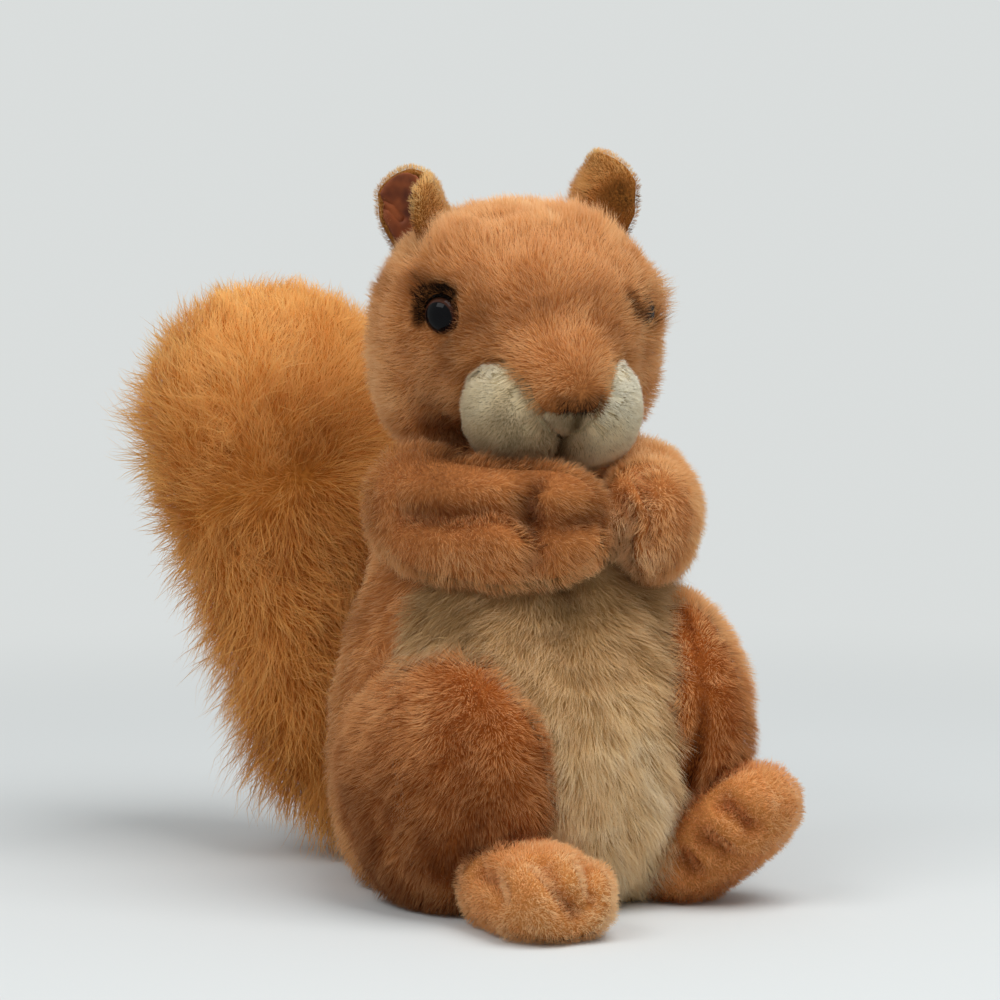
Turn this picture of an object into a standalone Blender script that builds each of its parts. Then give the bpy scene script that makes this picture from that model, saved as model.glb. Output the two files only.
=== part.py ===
"""Plush squirrel that sits with its arms folded under its chin and its tail raised behind.

Metres, +Z up. The toy faces -Y, its own left side is at +X, and it sits on z = 0.
In the comments, forward means towards -Y.
"""

import math

import bmesh
import bpy
from mathutils import Matrix, Vector
from mathutils.bvhtree import BVHTree

for old in list(bpy.data.objects):
    bpy.data.objects.remove(old, do_unlink=True)

# Driving dimensions. All of them are sizes of the cloth under the pile.
SEAM_GAP = 0.0003  # between pieces that are sewn or pressed together
FLATTENING = 0.0012  # how much the table flattens a thigh or a foot
FLAT_SIDES = 24  # corners round a large stuffed form
LIMB_SIDES = 20  # corners round a limb

HEAD_WIDTH = 0.085
HEAD_HEIGHT = 0.076
SKULL_LENGTH = 0.037  # centre of the head to the back of the skull
FACE_LENGTH = 0.0468  # centre of the head to the tip of the snout
SNOUT_WIDTH = 0.027
SNOUT_HEIGHT = 0.027
SNOUT_DROP = 0.0175  # tip of the snout below the centre of the head
HEAD_RISE = 0.166  # seat to the centre of the head
HEAD_SHIFT = 0.002  # centre of the head to the toy's left of its middle
HEAD_TURN = math.radians(-10.0)  # towards the toy's right

PAD_WIDTH = 0.0290  # one of the two muzzle pads
PAD_DEPTH = 0.025
PAD_HEIGHT = 0.033
PAD_SPREAD = 0.0118  # middle of a pad to the middle of the face
PAD_SETBACK = 0.0168  # middle of a pad behind the tip of the snout
PAD_DROP = 0.0215  # middle of a pad below the centre of the head
PAD_LEAN = math.radians(18.0)  # tops outward

EYE_DIAMETER = 0.0118
EYE_DOME = 0.0050
EYE_FLANGE = 0.0012
EYE_SINK = 0.0036  # back of the eye below the cloth
EYE_YAW = math.radians(56.0)  # place of the eye, from straight ahead
EYE_PITCH = math.radians(10.0)
SHANK_DIAMETER = 0.0034
SHANK_LENGTH = 0.0105
WASHER_DIAMETER = 0.0120
WASHER_THICKNESS = 0.0015
WASHER_DEPTH = 0.0050  # back of the eye to the front of the washer

EAR_DEPTH = 0.0155  # the cup, from its back wall to its open side
EAR_RADIUS = 0.0108  # half of the cup's open side
EAR_WRAP = math.radians(88.0)  # the cup's edge on either side of its back wall
EAR_HEIGHT = 0.0255
EAR_ROOT = 0.0080  # length that runs down into the head seam
EAR_CLOTH = 0.0034
EAR_LEAN = 0.0120  # top of the ear outward of its base
EAR_YAW = math.radians(-9.0)  # the cup opens outward and a little backward
EAR_SET = math.radians(38.0)  # base of the ear, up from the side of the head
EAR_SETBACK = 0.004  # base of the ear behind the centre of the head
LEFT_EAR_LIFT = 0.0045  # the left ear stands a little taller
LINING_CLOTH = 0.0009

BODY_WIDTH = 0.106
BODY_DEPTH = 0.110
BODY_HEIGHT = 0.137
BELLY_BULGE = 0.005  # how far the hips and belly sit forward of the seat and the shoulders
SEAT_WIDTH = 0.074
SEAT_DEPTH = 0.074
SHOULDER_WIDTH = 0.070
SHOULDER_DEPTH = 0.068

BELLY_WIDTH = 0.116  # of the form that marks out the panel
BELLY_DEPTH = 0.060
BELLY_HEIGHT = 0.104
BELLY_FORWARD = 0.011  # back of the panel under the arms
BELLY_FOOT_SETBACK = 0.024  # how much further forward it lies at the seat

ARM_HEIGHT = 0.035
ARM_THICKNESS = 0.027
PAW_HEIGHT = 0.029
PAW_THICKNESS = 0.026
SHOULDER_RISE = 0.116
SHOULDER_SPREAD = 0.0350  # middle of the shoulder to the middle of the toy
ELBOW_FORWARD = 0.015
PAW_FORWARD = 0.049
PAW_DROP = 0.003  # paws below the shoulders
RIGHT_PAW_REACH = 0.0010  # how far the right paw passes the middle of the toy
LEFT_PAW_REACH = -0.0050

THIGH_WIDTH = 0.042
THIGH_LENGTH = 0.082
THIGH_HEIGHT = 0.080
THIGH_SPREAD = 0.037
THIGH_FORWARD = 0.025
THIGH_TURN = math.radians(9.0)  # knees inward
LEFT_THIGH_LIFT = 0.011  # the left leg is drawn up

FOOT_WIDTH = 0.033
FOOT_LENGTH = 0.053
FOOT_HEIGHT = 0.024
FOOT_SPREAD = 0.033
RIGHT_FOOT_FORWARD = 0.069
LEFT_FOOT_FORWARD = 0.057
LEFT_FOOT_TURN = math.radians(34.0)  # toes outward
LEFT_FOOT_LIFT = math.radians(39.0)  # toes up, heel on the table

TAIL_ROOT_WIDTH = 0.030
TAIL_WIDTH = 0.085
TAIL_THICKNESS = 0.055
TAIL_RISE = 0.178  # seat to the tip of the tail
TAIL_BACK = 0.104  # middle of the tail's upper half behind the middle of the toy
TAIL_LEAN = 0.028  # top of the tail towards the toy's right
TAIL_ROOT_RISE = 0.026
TAIL_CLEARANCE = 0.005  # lowest bend of the tail above the table


def plain_material(name, colour, roughness, metallic=0.0):
    """One even surface."""
    material = bpy.data.materials.new(name)
    material.use_nodes = True
    shader = material.node_tree.nodes["Principled BSDF"]
    shader.inputs["Base Color"].default_value = (*colour, 1.0)
    shader.inputs["Roughness"].default_value = roughness
    shader.inputs["Metallic"].default_value = metallic
    return material


brown_plush = plain_material("brown_plush", (0.44, 0.19, 0.075), 0.92)
ear_plush = plain_material("ear_plush", (0.38, 0.17, 0.05), 0.92)
foot_plush = plain_material("foot_plush", (0.50, 0.22, 0.09), 0.92)
rust_plush = plain_material("rust_plush", (0.38, 0.12, 0.04), 0.92)
tail_plush = plain_material("tail_plush", (0.55, 0.24, 0.06), 0.90)
belly_plush = plain_material("belly_plush", (0.44, 0.33, 0.17), 0.92)
muzzle_plush = plain_material("muzzle_plush", (0.58, 0.51, 0.36), 0.95)
ear_satin = plain_material("ear_satin", (0.12, 0.035, 0.012), 0.45)
eye_plastic = plain_material("eye_plastic", (0.012, 0.008, 0.006), 0.06)
washer_plastic = plain_material("washer_plastic", (0.75, 0.74, 0.70), 0.45)


def add_piece(name, bm, material, parent=None):
    """A smooth-shaded object. A closed bmesh has its faces turned outward."""
    if not any(edge.is_boundary for edge in bm.edges):
        bmesh.ops.recalc_face_normals(bm, faces=bm.faces)
    mesh = bpy.data.meshes.new(name)
    bm.to_mesh(mesh)
    bm.free()
    mesh.materials.append(material)
    mesh.shade_smooth()
    mesh.set_sharp_from_angle(angle=math.radians(50.0))
    piece = bpy.data.objects.new(name, mesh)
    bpy.context.scene.collection.objects.link(piece)
    piece.parent = parent
    return piece


def make_cutter(piece):
    """Marks an object as a shape that only cuts others."""
    piece.hide_render = True
    piece.display_type = "WIRE"
    return piece


def boolean(piece, other, operation="DIFFERENCE"):
    cut = piece.modifiers.new(other.name, "BOOLEAN")
    cut.operation = operation
    cut.solver = "EXACT"
    cut.object = other


def clear_copy(piece, clearance=SEAM_GAP):
    """A cutter with the piece's uncut form, larger all round by the clearance."""
    mesh = piece.data.copy()
    bm = bmesh.new()
    bm.from_mesh(mesh)
    bm.normal_update()
    moves = [vertex.normal * clearance for vertex in bm.verts]
    for vertex, move in zip(bm.verts, moves):
        vertex.co += move
    bm.to_mesh(mesh)
    bm.free()
    copy = bpy.data.objects.new(piece.name + "_clear", mesh)
    bpy.context.scene.collection.objects.link(copy)
    copy.parent = piece.parent
    copy.location = piece.location
    copy.rotation_euler = piece.rotation_euler
    return make_cutter(copy)


def between(values, place):
    """Reads a smooth curve through the values at a place counted in values."""
    last = len(values) - 1
    start = min(int(place), last - 1)
    part = place - start
    a, b, c, d = (values[min(max(start + step, 0), last)] for step in (-1, 0, 1, 2))
    bend = (c - b) * 3.0 - (c - a) - (d - b) * 0.5
    twist = (d - b) * 0.5 + (c - a) * 0.5 - (c - b) * 2.0
    return b + (c - a) * (0.5 * part) + bend * part**2 + twist * part**3


def stuffed_form(
    stations, across, sides, rings, start_round, end_round, fullness=2.0, low_fullness=None, upright=None
):
    """A stuffed tube along a smooth spine.

    Each station is its centre, its half size along the direction across, and its half size at
    right angles to that and to the spine. The ends round off over the given lengths, or end
    flat at 0. Fullness above 2 squares the section, and the lower half can have its own. With a
    direction upright, every section is square to that instead of to the spine.
    """
    centres = [Vector(station[0]) for station in stations]
    reach = [0.0]
    for before, after in zip(centres, centres[1:]):
        reach.append(reach[-1] + (after - before).length)
    length = reach[-1]
    places = []
    for step in range(rings):
        share = step / (rings - 1)
        wave = (1.0 - math.cos(math.pi * share)) / 2.0
        places.append(length * (0.45 * share + 0.55 * wave))
    bm = bmesh.new()
    loops = []
    for at in places:
        index = max(i for i in range(len(reach) - 1) if reach[i] <= at + 1e-12)
        step = reach[index + 1] - reach[index]
        place = index + (at - reach[index]) / step
        centre = between(centres, place)
        ahead = between(centres, min(place + 0.05, len(centres) - 1))
        behind = between(centres, max(place - 0.05, 0.0))
        along = Vector(upright) if upright else (ahead - behind).normalized()
        side = (Vector(across) - along * Vector(across).dot(along)).normalized()
        upward = along.cross(side)
        shrink = 1.0
        if start_round and at < start_round:
            shrink *= math.sqrt(max(0.0, 1.0 - (1.0 - at / start_round) ** 2))
        if end_round and length - at < end_round:
            shrink *= math.sqrt(max(0.0, 1.0 - (1.0 - (length - at) / end_round) ** 2))
        half_side = between([station[1] for station in stations], place) * shrink
        half_up = between([station[2] for station in stations], place) * shrink
        if shrink < 1e-6:
            loops.append([bm.verts.new(centre)])
            continue
        loop = []
        for corner in range(sides):
            turn = 2.0 * math.pi * corner / sides
            power = 2.0 / ((low_fullness if corner > sides / 2 else None) or fullness)
            flat = math.copysign(abs(math.cos(turn)) ** power, math.cos(turn))
            tall = math.copysign(abs(math.sin(turn)) ** power, math.sin(turn))
            loop.append(bm.verts.new(centre + side * (half_side * flat) + upward * (half_up * tall)))
        loops.append(loop)
    for lower, upper in zip(loops, loops[1:]):
        for corner in range(sides):
            following = (corner + 1) % sides
            if len(lower) == 1:
                bm.faces.new((lower[0], upper[following], upper[corner]))
            elif len(upper) == 1:
                bm.faces.new((lower[corner], lower[following], upper[0]))
            else:
                bm.faces.new((lower[corner], lower[following], upper[following], upper[corner]))
    for loop in (loops[0], loops[-1]):
        if len(loop) > 1:
            bm.faces.new(loop)
    return bm


def turned_form(profile, segments):
    """Spins a profile of (radius, height) points, both ends on the axis, round Z."""
    bm = bmesh.new()
    points = [bm.verts.new((radius, 0.0, height)) for radius, height in profile]
    edges = [bm.edges.new(pair) for pair in zip(points, points[1:])]
    bmesh.ops.spin(
        bm,
        geom=points + edges,
        cent=(0.0, 0.0, 0.0),
        axis=(0.0, 0.0, 1.0),
        angle=2.0 * math.pi,
        steps=segments,
        use_merge=True,
    )
    bmesh.ops.remove_doubles(bm, verts=bm.verts, dist=1e-6)
    return bm


def oval_form(size, segments, rings):
    """A closed oval with the given full size along X, Y and Z."""
    bm = bmesh.new()
    bmesh.ops.create_uvsphere(bm, u_segments=segments, v_segments=rings, radius=0.5)
    bmesh.ops.scale(bm, vec=size, verts=bm.verts)
    return bm


# The table top, as a block that flattens what rests on it
bm = bmesh.new()
bmesh.ops.create_cube(bm, size=0.6)
table = make_cutter(add_piece("table_top", bm, washer_plastic))
table.location = (0.0, 0.0, -0.3)

# Head: one stuffed form from the back of the skull to the snout. It turns on an empty at its
# centre, which also carries the eyes, the muzzle and the ears.
neck_turn = bpy.data.objects.new("head_turn", None)
bpy.context.scene.collection.objects.link(neck_turn)
neck_turn.location = (HEAD_SHIFT, 0.0, HEAD_RISE)
neck_turn.rotation_euler = (0.0, 0.0, HEAD_TURN)

half_width = HEAD_WIDTH / 2.0
half_height = HEAD_HEIGHT / 2.0
snout_half_width = SNOUT_WIDTH / 2.0
snout_half_height = SNOUT_HEIGHT / 2.0
head_stations = [((0.0, SKULL_LENGTH, 0.002), half_width * 0.93, half_height * 0.95)]
head_stations.append(((0.0, SKULL_LENGTH * 0.5, 0.001), half_width * 0.97, half_height * 0.98))
head_stations.append(((0.0, 0.0, 0.0), half_width, half_height))
for share, blend in ((0.27, 0.11), (0.44, 0.46), (0.60, 0.71), (0.78, 0.88), (1.0, 1.0)):
    wide = half_width + (snout_half_width - half_width) * blend
    tall = half_height + (snout_half_height - half_height) * blend
    drop = SNOUT_DROP * blend**1.6
    head_stations.append(((0.0, -FACE_LENGTH * share, -drop), wide, tall))
head_form = stuffed_form(
    head_stations,
    across=(1.0, 0.0, 0.0),
    sides=FLAT_SIDES + 4,
    rings=19,
    start_round=SKULL_LENGTH * 0.98,
    end_round=FACE_LENGTH * 0.24,
    fullness=2.2,
    low_fullness=2.9,
)
head = add_piece("head", head_form, brown_plush, neck_turn)
head_clear = clear_copy(head)
head_skin = BVHTree.FromObject(head, bpy.context.evaluated_depsgraph_get())


def on_head(direction, start=(0.0, 0.0, 0.0)):
    """The point where a line from inside the head leaves its cloth, and the way out there."""
    far_point = Vector(start) + Vector(direction).normalized() * 0.2
    place, normal, _, _ = head_skin.ray_cast(far_point, -Vector(direction))
    return place, normal


# Muzzle: a pair of short-pile pads under the snout, pressed together along the middle seam
for side, name in ((1.0, "muzzle_left"), (-1.0, "muzzle_right")):
    bm = oval_form((PAD_WIDTH, PAD_DEPTH, PAD_HEIGHT), LIMB_SIDES, 12)
    middle = Vector((side * PAD_SPREAD, -(FACE_LENGTH - PAD_SETBACK), -PAD_DROP))
    lean = Matrix.Rotation(side * PAD_LEAN, 4, "Y")
    bmesh.ops.transform(bm, matrix=Matrix.Translation(middle) @ lean, verts=bm.verts)
    seam = -side * SEAM_GAP / 2.0
    bmesh.ops.bisect_plane(
        bm,
        geom=bm.verts[:] + bm.edges[:] + bm.faces[:],
        plane_co=(-seam, 0.0, 0.0),
        plane_no=(-side, 0.0, 0.0),
        clear_outer=True,
    )
    bmesh.ops.holes_fill(bm, edges=[edge for edge in bm.edges if edge.is_boundary], sides=0)
    pad = add_piece(name, bm, muzzle_plush, neck_turn)
    boolean(head, clear_copy(pad))

# Eyes: a domed button with a shank that passes through the cloth, held by a washer inside.
# The stuffing leaves a seat, a hole and a pocket for them.
eye_radius = EYE_DIAMETER / 2.0
shank_radius = SHANK_DIAMETER / 2.0
washer_radius = WASHER_DIAMETER / 2.0
eye_profile = [(0.0, EYE_FLANGE + EYE_DOME)]
for step in range(1, 8):
    turn = math.radians(90.0) * step / 7.0
    eye_profile.append((eye_radius * math.sin(turn), EYE_FLANGE + EYE_DOME * math.cos(turn)))
eye_profile.append((eye_radius, 0.0))
eye_profile.append((shank_radius, 0.0))
eye_profile.append((shank_radius, -SHANK_LENGTH))
eye_profile.append((0.0, -SHANK_LENGTH))
washer_back = WASHER_DEPTH + WASHER_THICKNESS
pocket_profile = [
    (0.0, EYE_FLANGE + EYE_DOME + EYE_SINK),
    (eye_radius + SEAM_GAP, EYE_FLANGE + EYE_DOME + EYE_SINK),
    (eye_radius + SEAM_GAP, -SEAM_GAP),
    (shank_radius + SEAM_GAP, -SEAM_GAP),
    (shank_radius + SEAM_GAP, SEAM_GAP - WASHER_DEPTH),
    (washer_radius + SEAM_GAP, SEAM_GAP - WASHER_DEPTH),
    (washer_radius + SEAM_GAP, -SEAM_GAP - washer_back),
    (shank_radius + SEAM_GAP, -SEAM_GAP - washer_back),
    (shank_radius + SEAM_GAP, -SEAM_GAP - SHANK_LENGTH),
    (0.0, -SEAM_GAP - SHANK_LENGTH),
]
for side, word in ((1.0, "left"), (-1.0, "right")):
    gaze = Vector((
        side * math.sin(EYE_YAW) * math.cos(EYE_PITCH),
        -math.cos(EYE_YAW) * math.cos(EYE_PITCH),
        math.sin(EYE_PITCH),
    ))
    place, outward = on_head(gaze)
    turn = outward.to_track_quat("Z", "Y").to_euler()
    seat = place - outward * EYE_SINK
    eye = add_piece("eye_" + word, turned_form(eye_profile, 24), eye_plastic, neck_turn)
    pocket = add_piece("eye_pocket_" + word, turned_form(pocket_profile, 24), eye_plastic, neck_turn)
    bm = bmesh.new()
    bmesh.ops.create_cone(
        bm,
        cap_ends=True,
        segments=24,
        radius1=washer_radius,
        radius2=washer_radius,
        depth=WASHER_THICKNESS,
    )
    bmesh.ops.translate(bm, vec=(0.0, 0.0, -WASHER_DEPTH - WASHER_THICKNESS / 2.0), verts=bm.verts)
    washer = add_piece("eye_washer_" + word, bm, washer_plastic, neck_turn)
    bm = bmesh.new()
    bmesh.ops.create_cone(
        bm,
        cap_ends=True,
        segments=24,
        radius1=shank_radius + SEAM_GAP,
        radius2=shank_radius + SEAM_GAP,
        depth=2.0 * washer_back + 2.0 * WASHER_THICKNESS,
    )
    shank_hole = add_piece("shank_hole_" + word, bm, washer_plastic, neck_turn)
    for piece in (eye, pocket, washer, shank_hole):
        piece.location = seat
        piece.rotation_euler = turn
    make_cutter(pocket)
    make_cutter(shank_hole)
    boolean(washer, shank_hole)
    boolean(head, pocket)


# Ears: a cupped flap of plush that opens outward, with a satin lining inside the cup
def ear_sheet(depth, radius, height, opening):
    """The curved sheet of one ear, which opens towards +X or -X. It faces out of the cup."""
    bm = bmesh.new()
    columns = 15
    rows = 7
    grid = []
    for column in range(columns):
        share = 2.0 * column / (columns - 1) - 1.0
        turn = EAR_WRAP * share
        edge = height * (0.38 + 0.62 * math.sqrt(max(0.0, 1.0 - abs(share) ** 2.3)))
        line = []
        for row in range(rows):
            rise = -EAR_ROOT + (edge + EAR_ROOT) * row / (rows - 1)
            up = max(rise, 0.0) / height
            swell = 0.68 + 0.32 * math.sin(math.radians(115.0) * up)
            across = EAR_LEAN * up - depth * swell * math.cos(turn)
            line.append(bm.verts.new((opening * across, -radius * swell * math.sin(turn), rise)))
        grid.append(line)
    for left, right in zip(grid, grid[1:]):
        for row in range(rows - 1):
            corners = (left[row], right[row], right[row + 1], left[row + 1])
            bm.faces.new(corners if opening > 0.0 else corners[::-1])
    return bm


for side, word, lift in ((1.0, "left", LEFT_EAR_LIFT), (-1.0, "right", 0.0)):
    crown = Vector((side * math.cos(EAR_SET), 0.0, math.sin(EAR_SET)))
    base, _ = on_head(crown, start=(0.0, EAR_SETBACK, 0.0))
    for name, material, cloth, grows, inset in (
        ("ear_" + word, ear_plush, EAR_CLOTH, 1.0, 0.0),
        ("ear_lining_" + word, ear_satin, LINING_CLOTH, -1.0, SEAM_GAP * 1.6),
    ):
        form = ear_sheet(EAR_DEPTH - inset, EAR_RADIUS - inset, EAR_HEIGHT + lift, side)
        ear = add_piece(name, form, material, neck_turn)
        ear.location = base
        ear.rotation_euler = (0.0, 0.0, side * EAR_YAW)
        thick = ear.modifiers.new("cloth", "SOLIDIFY")
        thick.thickness = cloth
        thick.offset = grows
        thick.use_even_offset = True
        boolean(ear, head_clear)

# Body: one stuffed form from the flat seat to the neck, which the head rests on
body_stations = []
for rise, hip, seat, shoulder, bulge in (
    (0.0, 0.0, 1.0, 0.0, 0.0),
    (0.035, 0.45, 0.55, 0.0, 0.3),
    (0.13, 0.90, 0.10, 0.0, 0.8),
    (0.31, 1.0, 0.0, 0.0, 1.0),
    (0.50, 0.84, 0.0, 0.14, 1.0),
    (0.68, 0.38, 0.0, 0.58, 0.5),
    (0.83, 0.0, 0.0, 1.0, 0.0),
    (1.0, -0.30, 0.0, 1.22, 0.0),
):
    wide = hip * BODY_WIDTH + seat * SEAT_WIDTH + shoulder * SHOULDER_WIDTH
    deep = hip * BODY_DEPTH + seat * SEAT_DEPTH + shoulder * SHOULDER_DEPTH
    centre = (0.0, -BELLY_BULGE * bulge, BODY_HEIGHT * rise)
    body_stations.append((centre, wide / 2.0, deep / 2.0))
body_form = stuffed_form(
    body_stations,
    across=(1.0, 0.0, 0.0),
    sides=FLAT_SIDES + 4,
    rings=18,
    start_round=0.0,
    end_round=BODY_HEIGHT * 0.16,
    fullness=2.15,
    upright=(0.0, 0.0, 1.0),
)
body = add_piece("body", body_form, brown_plush)
body_clear = clear_copy(body)
boolean(body, head_clear)

# Belly: the pale front panel with its share of the stuffing, let into the front of the body.
# It reaches further round the sides under the arms than between the thighs.
half_belly = BELLY_DEPTH / 2.0
belly_stations = []
for rise, setback in (
    (-0.04, BELLY_FOOT_SETBACK),
    (0.18, BELLY_FOOT_SETBACK * 0.7),
    (0.55, BELLY_FOOT_SETBACK * 0.35),
    (0.88, 0.0),
    (1.0, BELLY_FOOT_SETBACK * 0.25),
):
    centre = (0.0, -BELLY_FORWARD - half_belly - setback, BELLY_HEIGHT * rise)
    belly_stations.append((centre, BELLY_WIDTH / 2.0, half_belly))
belly_form = stuffed_form(
    belly_stations,
    across=(1.0, 0.0, 0.0),
    sides=FLAT_SIDES,
    rings=12,
    start_round=0.0,
    end_round=BELLY_HEIGHT * 0.12,
    fullness=2.9,
)
belly = add_piece("belly", belly_form, belly_plush)
boolean(body, clear_copy(belly))
body_outline = make_cutter(bpy.data.objects.new("body_outline", body.data.copy()))
bpy.context.scene.collection.objects.link(body_outline)
boolean(belly, body_outline, "INTERSECT")

# Arms: each comes down from its shoulder and folds across the chest, paws together
arms = []
paw_rise = SHOULDER_RISE - PAW_DROP
for side, word, paw_reach in ((-1.0, "right", RIGHT_PAW_REACH), (1.0, "left", LEFT_PAW_REACH)):
    paw = -side * paw_reach
    arm_stations = [
        ((side * SHOULDER_SPREAD * 0.92, ELBOW_FORWARD * 0.5, SHOULDER_RISE), 0.92, 0.95),
        ((side * SHOULDER_SPREAD, -ELBOW_FORWARD * 0.4, SHOULDER_RISE), 1.0, 1.0),
        ((side * SHOULDER_SPREAD, -ELBOW_FORWARD * 1.3, SHOULDER_RISE - 0.002), 1.0, 1.0),
        ((side * SHOULDER_SPREAD * 0.72, -PAW_FORWARD * 0.75, paw_rise - 0.001), 0.96, 1.0),
        ((paw + (side * SHOULDER_SPREAD - paw) * 0.36, -PAW_FORWARD * 0.95, paw_rise), 0.5, 0.5),
        ((paw, -PAW_FORWARD, paw_rise), 0.0, 0.0),
    ]
    sized = []
    for centre, tall, thick in arm_stations:
        half_tall = (PAW_HEIGHT + (ARM_HEIGHT - PAW_HEIGHT) * tall) / 2.0
        half_thick = (PAW_THICKNESS + (ARM_THICKNESS - PAW_THICKNESS) * thick) / 2.0
        sized.append((centre, half_tall, half_thick))
    arm_form = stuffed_form(
        sized,
        across=(0.0, 0.0, 1.0),
        sides=LIMB_SIDES,
        rings=17,
        start_round=ARM_THICKNESS * 0.5,
        end_round=PAW_THICKNESS * 0.55,
        fullness=2.2,
    )
    arm = add_piece("arm_" + word, arm_form, brown_plush)
    boolean(arm, head_clear)
    boolean(arm, body_clear)
    for earlier in arms:
        boolean(arm, clear_copy(earlier))
    arms.append(arm)

# Feet: the right one lies flat, and the left one stands on its heel with the toes out and up
foot_clears = {}
for side, word, forward, outward, lift in (
    (-1.0, "right", RIGHT_FOOT_FORWARD, 0.0, 0.0),
    (1.0, "left", LEFT_FOOT_FORWARD, LEFT_FOOT_TURN, LEFT_FOOT_LIFT),
):
    half_foot = FOOT_LENGTH / 2.0
    foot_form = stuffed_form(
        [
            ((0.0, half_foot, 0.0), FOOT_WIDTH * 0.42, FOOT_HEIGHT * 0.48),
            ((0.0, half_foot * 0.3, 0.0), FOOT_WIDTH * 0.46, FOOT_HEIGHT * 0.52),
            ((0.0, -half_foot * 0.4, 0.0), FOOT_WIDTH * 0.52, FOOT_HEIGHT * 0.52),
            ((0.0, -half_foot, 0.0), FOOT_WIDTH * 0.46, FOOT_HEIGHT * 0.46),
        ],
        across=(1.0, 0.0, 0.0),
        sides=LIMB_SIDES,
        rings=13,
        start_round=FOOT_LENGTH * 0.30,
        end_round=FOOT_LENGTH * 0.28,
        fullness=2.3,
    )
    foot = add_piece("foot_" + word, foot_form, foot_plush)
    foot.rotation_euler = (-lift, 0.0, side * outward)
    turned = foot.rotation_euler.to_matrix()
    sole = min((turned @ vertex.co).z for vertex in foot.data.vertices)
    foot.location = (side * (FOOT_SPREAD + half_foot * 0.3 * math.sin(outward)), -forward, -sole - FLATTENING)
    foot_clears[word] = clear_copy(foot)
    boolean(foot, table)
    boolean(foot, body_clear)

# Thighs: large rounded haunches against the sides of the body, above the feet
for side, word, lift in ((1.0, "left", LEFT_THIGH_LIFT), (-1.0, "right", 0.0)):
    bm = oval_form((THIGH_WIDTH, THIGH_LENGTH, THIGH_HEIGHT), FLAT_SIDES, 16)
    thigh = add_piece("thigh_" + word, bm, rust_plush)
    rise = THIGH_HEIGHT / 2.0 - FLATTENING + lift
    thigh.location = (side * THIGH_SPREAD, -THIGH_FORWARD, rise)
    thigh.rotation_euler = (0.0, 0.0, -side * THIGH_TURN)
    boolean(thigh, table)
    boolean(thigh, body_clear)
    boolean(thigh, foot_clears[word])

# Tail: sewn to the low back, it bends up from the table and widens to a rounded top
half_root = TAIL_ROOT_WIDTH / 2.0
half_tail = TAIL_WIDTH / 2.0
half_thick = TAIL_THICKNESS / 2.0
bend = TAIL_CLEARANCE + half_thick * 0.72
straight = TAIL_RISE - bend
tail_stations = [
    ((-TAIL_LEAN * 0.10, BODY_DEPTH * 0.36, TAIL_ROOT_RISE), half_root, half_thick * 0.55),
    ((-TAIL_LEAN * 0.30, BODY_DEPTH * 0.56, TAIL_ROOT_RISE * 0.9), half_root * 1.15, half_thick * 0.62),
    ((-TAIL_LEAN * 0.58, TAIL_BACK * 0.76, bend + straight * 0.08), half_tail * 0.64, half_thick * 0.70),
    ((-TAIL_LEAN * 0.66, TAIL_BACK * 0.86, bend + straight * 0.26), half_tail * 0.74, half_thick * 0.80),
    ((-TAIL_LEAN * 0.74, TAIL_BACK * 0.94, bend + straight * 0.47), half_tail * 0.88, half_thick * 0.94),
    ((-TAIL_LEAN * 0.90, TAIL_BACK, bend + straight * 0.68), half_tail, half_thick),
    ((-TAIL_LEAN, TAIL_BACK * 1.01, bend + straight * 0.86), half_tail * 0.98, half_thick * 0.96),
    ((-TAIL_LEAN * 1.05, TAIL_BACK * 0.98, TAIL_RISE), half_tail * 0.86, half_thick * 0.86),
]
tail_form = stuffed_form(
    tail_stations,
    across=(1.0, 0.0, 0.0),
    sides=FLAT_SIDES,
    rings=20,
    start_round=0.0,
    end_round=half_tail * 0.85,
    fullness=2.1,
)
tail = add_piece("tail", tail_form, tail_plush)
boolean(tail, body_clear)
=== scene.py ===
import math

import bmesh
import bpy
import numpy as np
from mathutils import Matrix, Vector
from mathutils.bvhtree import BVHTree
from mathutils.kdtree import KDTree


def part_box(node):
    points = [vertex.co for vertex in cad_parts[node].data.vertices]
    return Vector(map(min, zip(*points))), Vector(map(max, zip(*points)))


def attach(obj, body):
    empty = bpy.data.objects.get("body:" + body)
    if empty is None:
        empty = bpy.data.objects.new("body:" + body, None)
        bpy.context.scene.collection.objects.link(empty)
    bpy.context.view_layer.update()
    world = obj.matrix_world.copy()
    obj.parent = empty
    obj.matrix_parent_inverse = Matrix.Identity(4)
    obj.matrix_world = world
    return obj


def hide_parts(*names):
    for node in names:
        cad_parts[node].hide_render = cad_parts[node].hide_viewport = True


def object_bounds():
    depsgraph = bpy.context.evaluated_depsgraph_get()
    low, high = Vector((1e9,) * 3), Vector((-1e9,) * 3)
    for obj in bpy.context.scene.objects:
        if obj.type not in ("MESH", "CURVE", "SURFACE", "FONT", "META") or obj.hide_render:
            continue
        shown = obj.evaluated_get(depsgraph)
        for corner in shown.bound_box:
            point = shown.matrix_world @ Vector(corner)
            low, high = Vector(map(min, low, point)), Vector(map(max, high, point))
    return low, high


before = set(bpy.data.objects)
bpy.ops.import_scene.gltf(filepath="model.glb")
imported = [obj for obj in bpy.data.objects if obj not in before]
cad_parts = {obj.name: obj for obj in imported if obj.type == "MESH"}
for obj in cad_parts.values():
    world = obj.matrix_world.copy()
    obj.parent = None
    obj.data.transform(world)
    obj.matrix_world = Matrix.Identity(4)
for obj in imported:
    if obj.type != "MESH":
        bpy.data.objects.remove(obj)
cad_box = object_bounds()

# Camera: it stands 1.1 m away, a little to the right of the toy and a little above it, and looks
# at the middle of the toy.
CAMERA_SIDE = math.radians(-30.0)
CAMERA_AWAY = 1.1
CAMERA_RISE = 0.2
PIXEL = 0.0003  # metres of the toy to one pixel of a picture 1000 pixels wide
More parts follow.
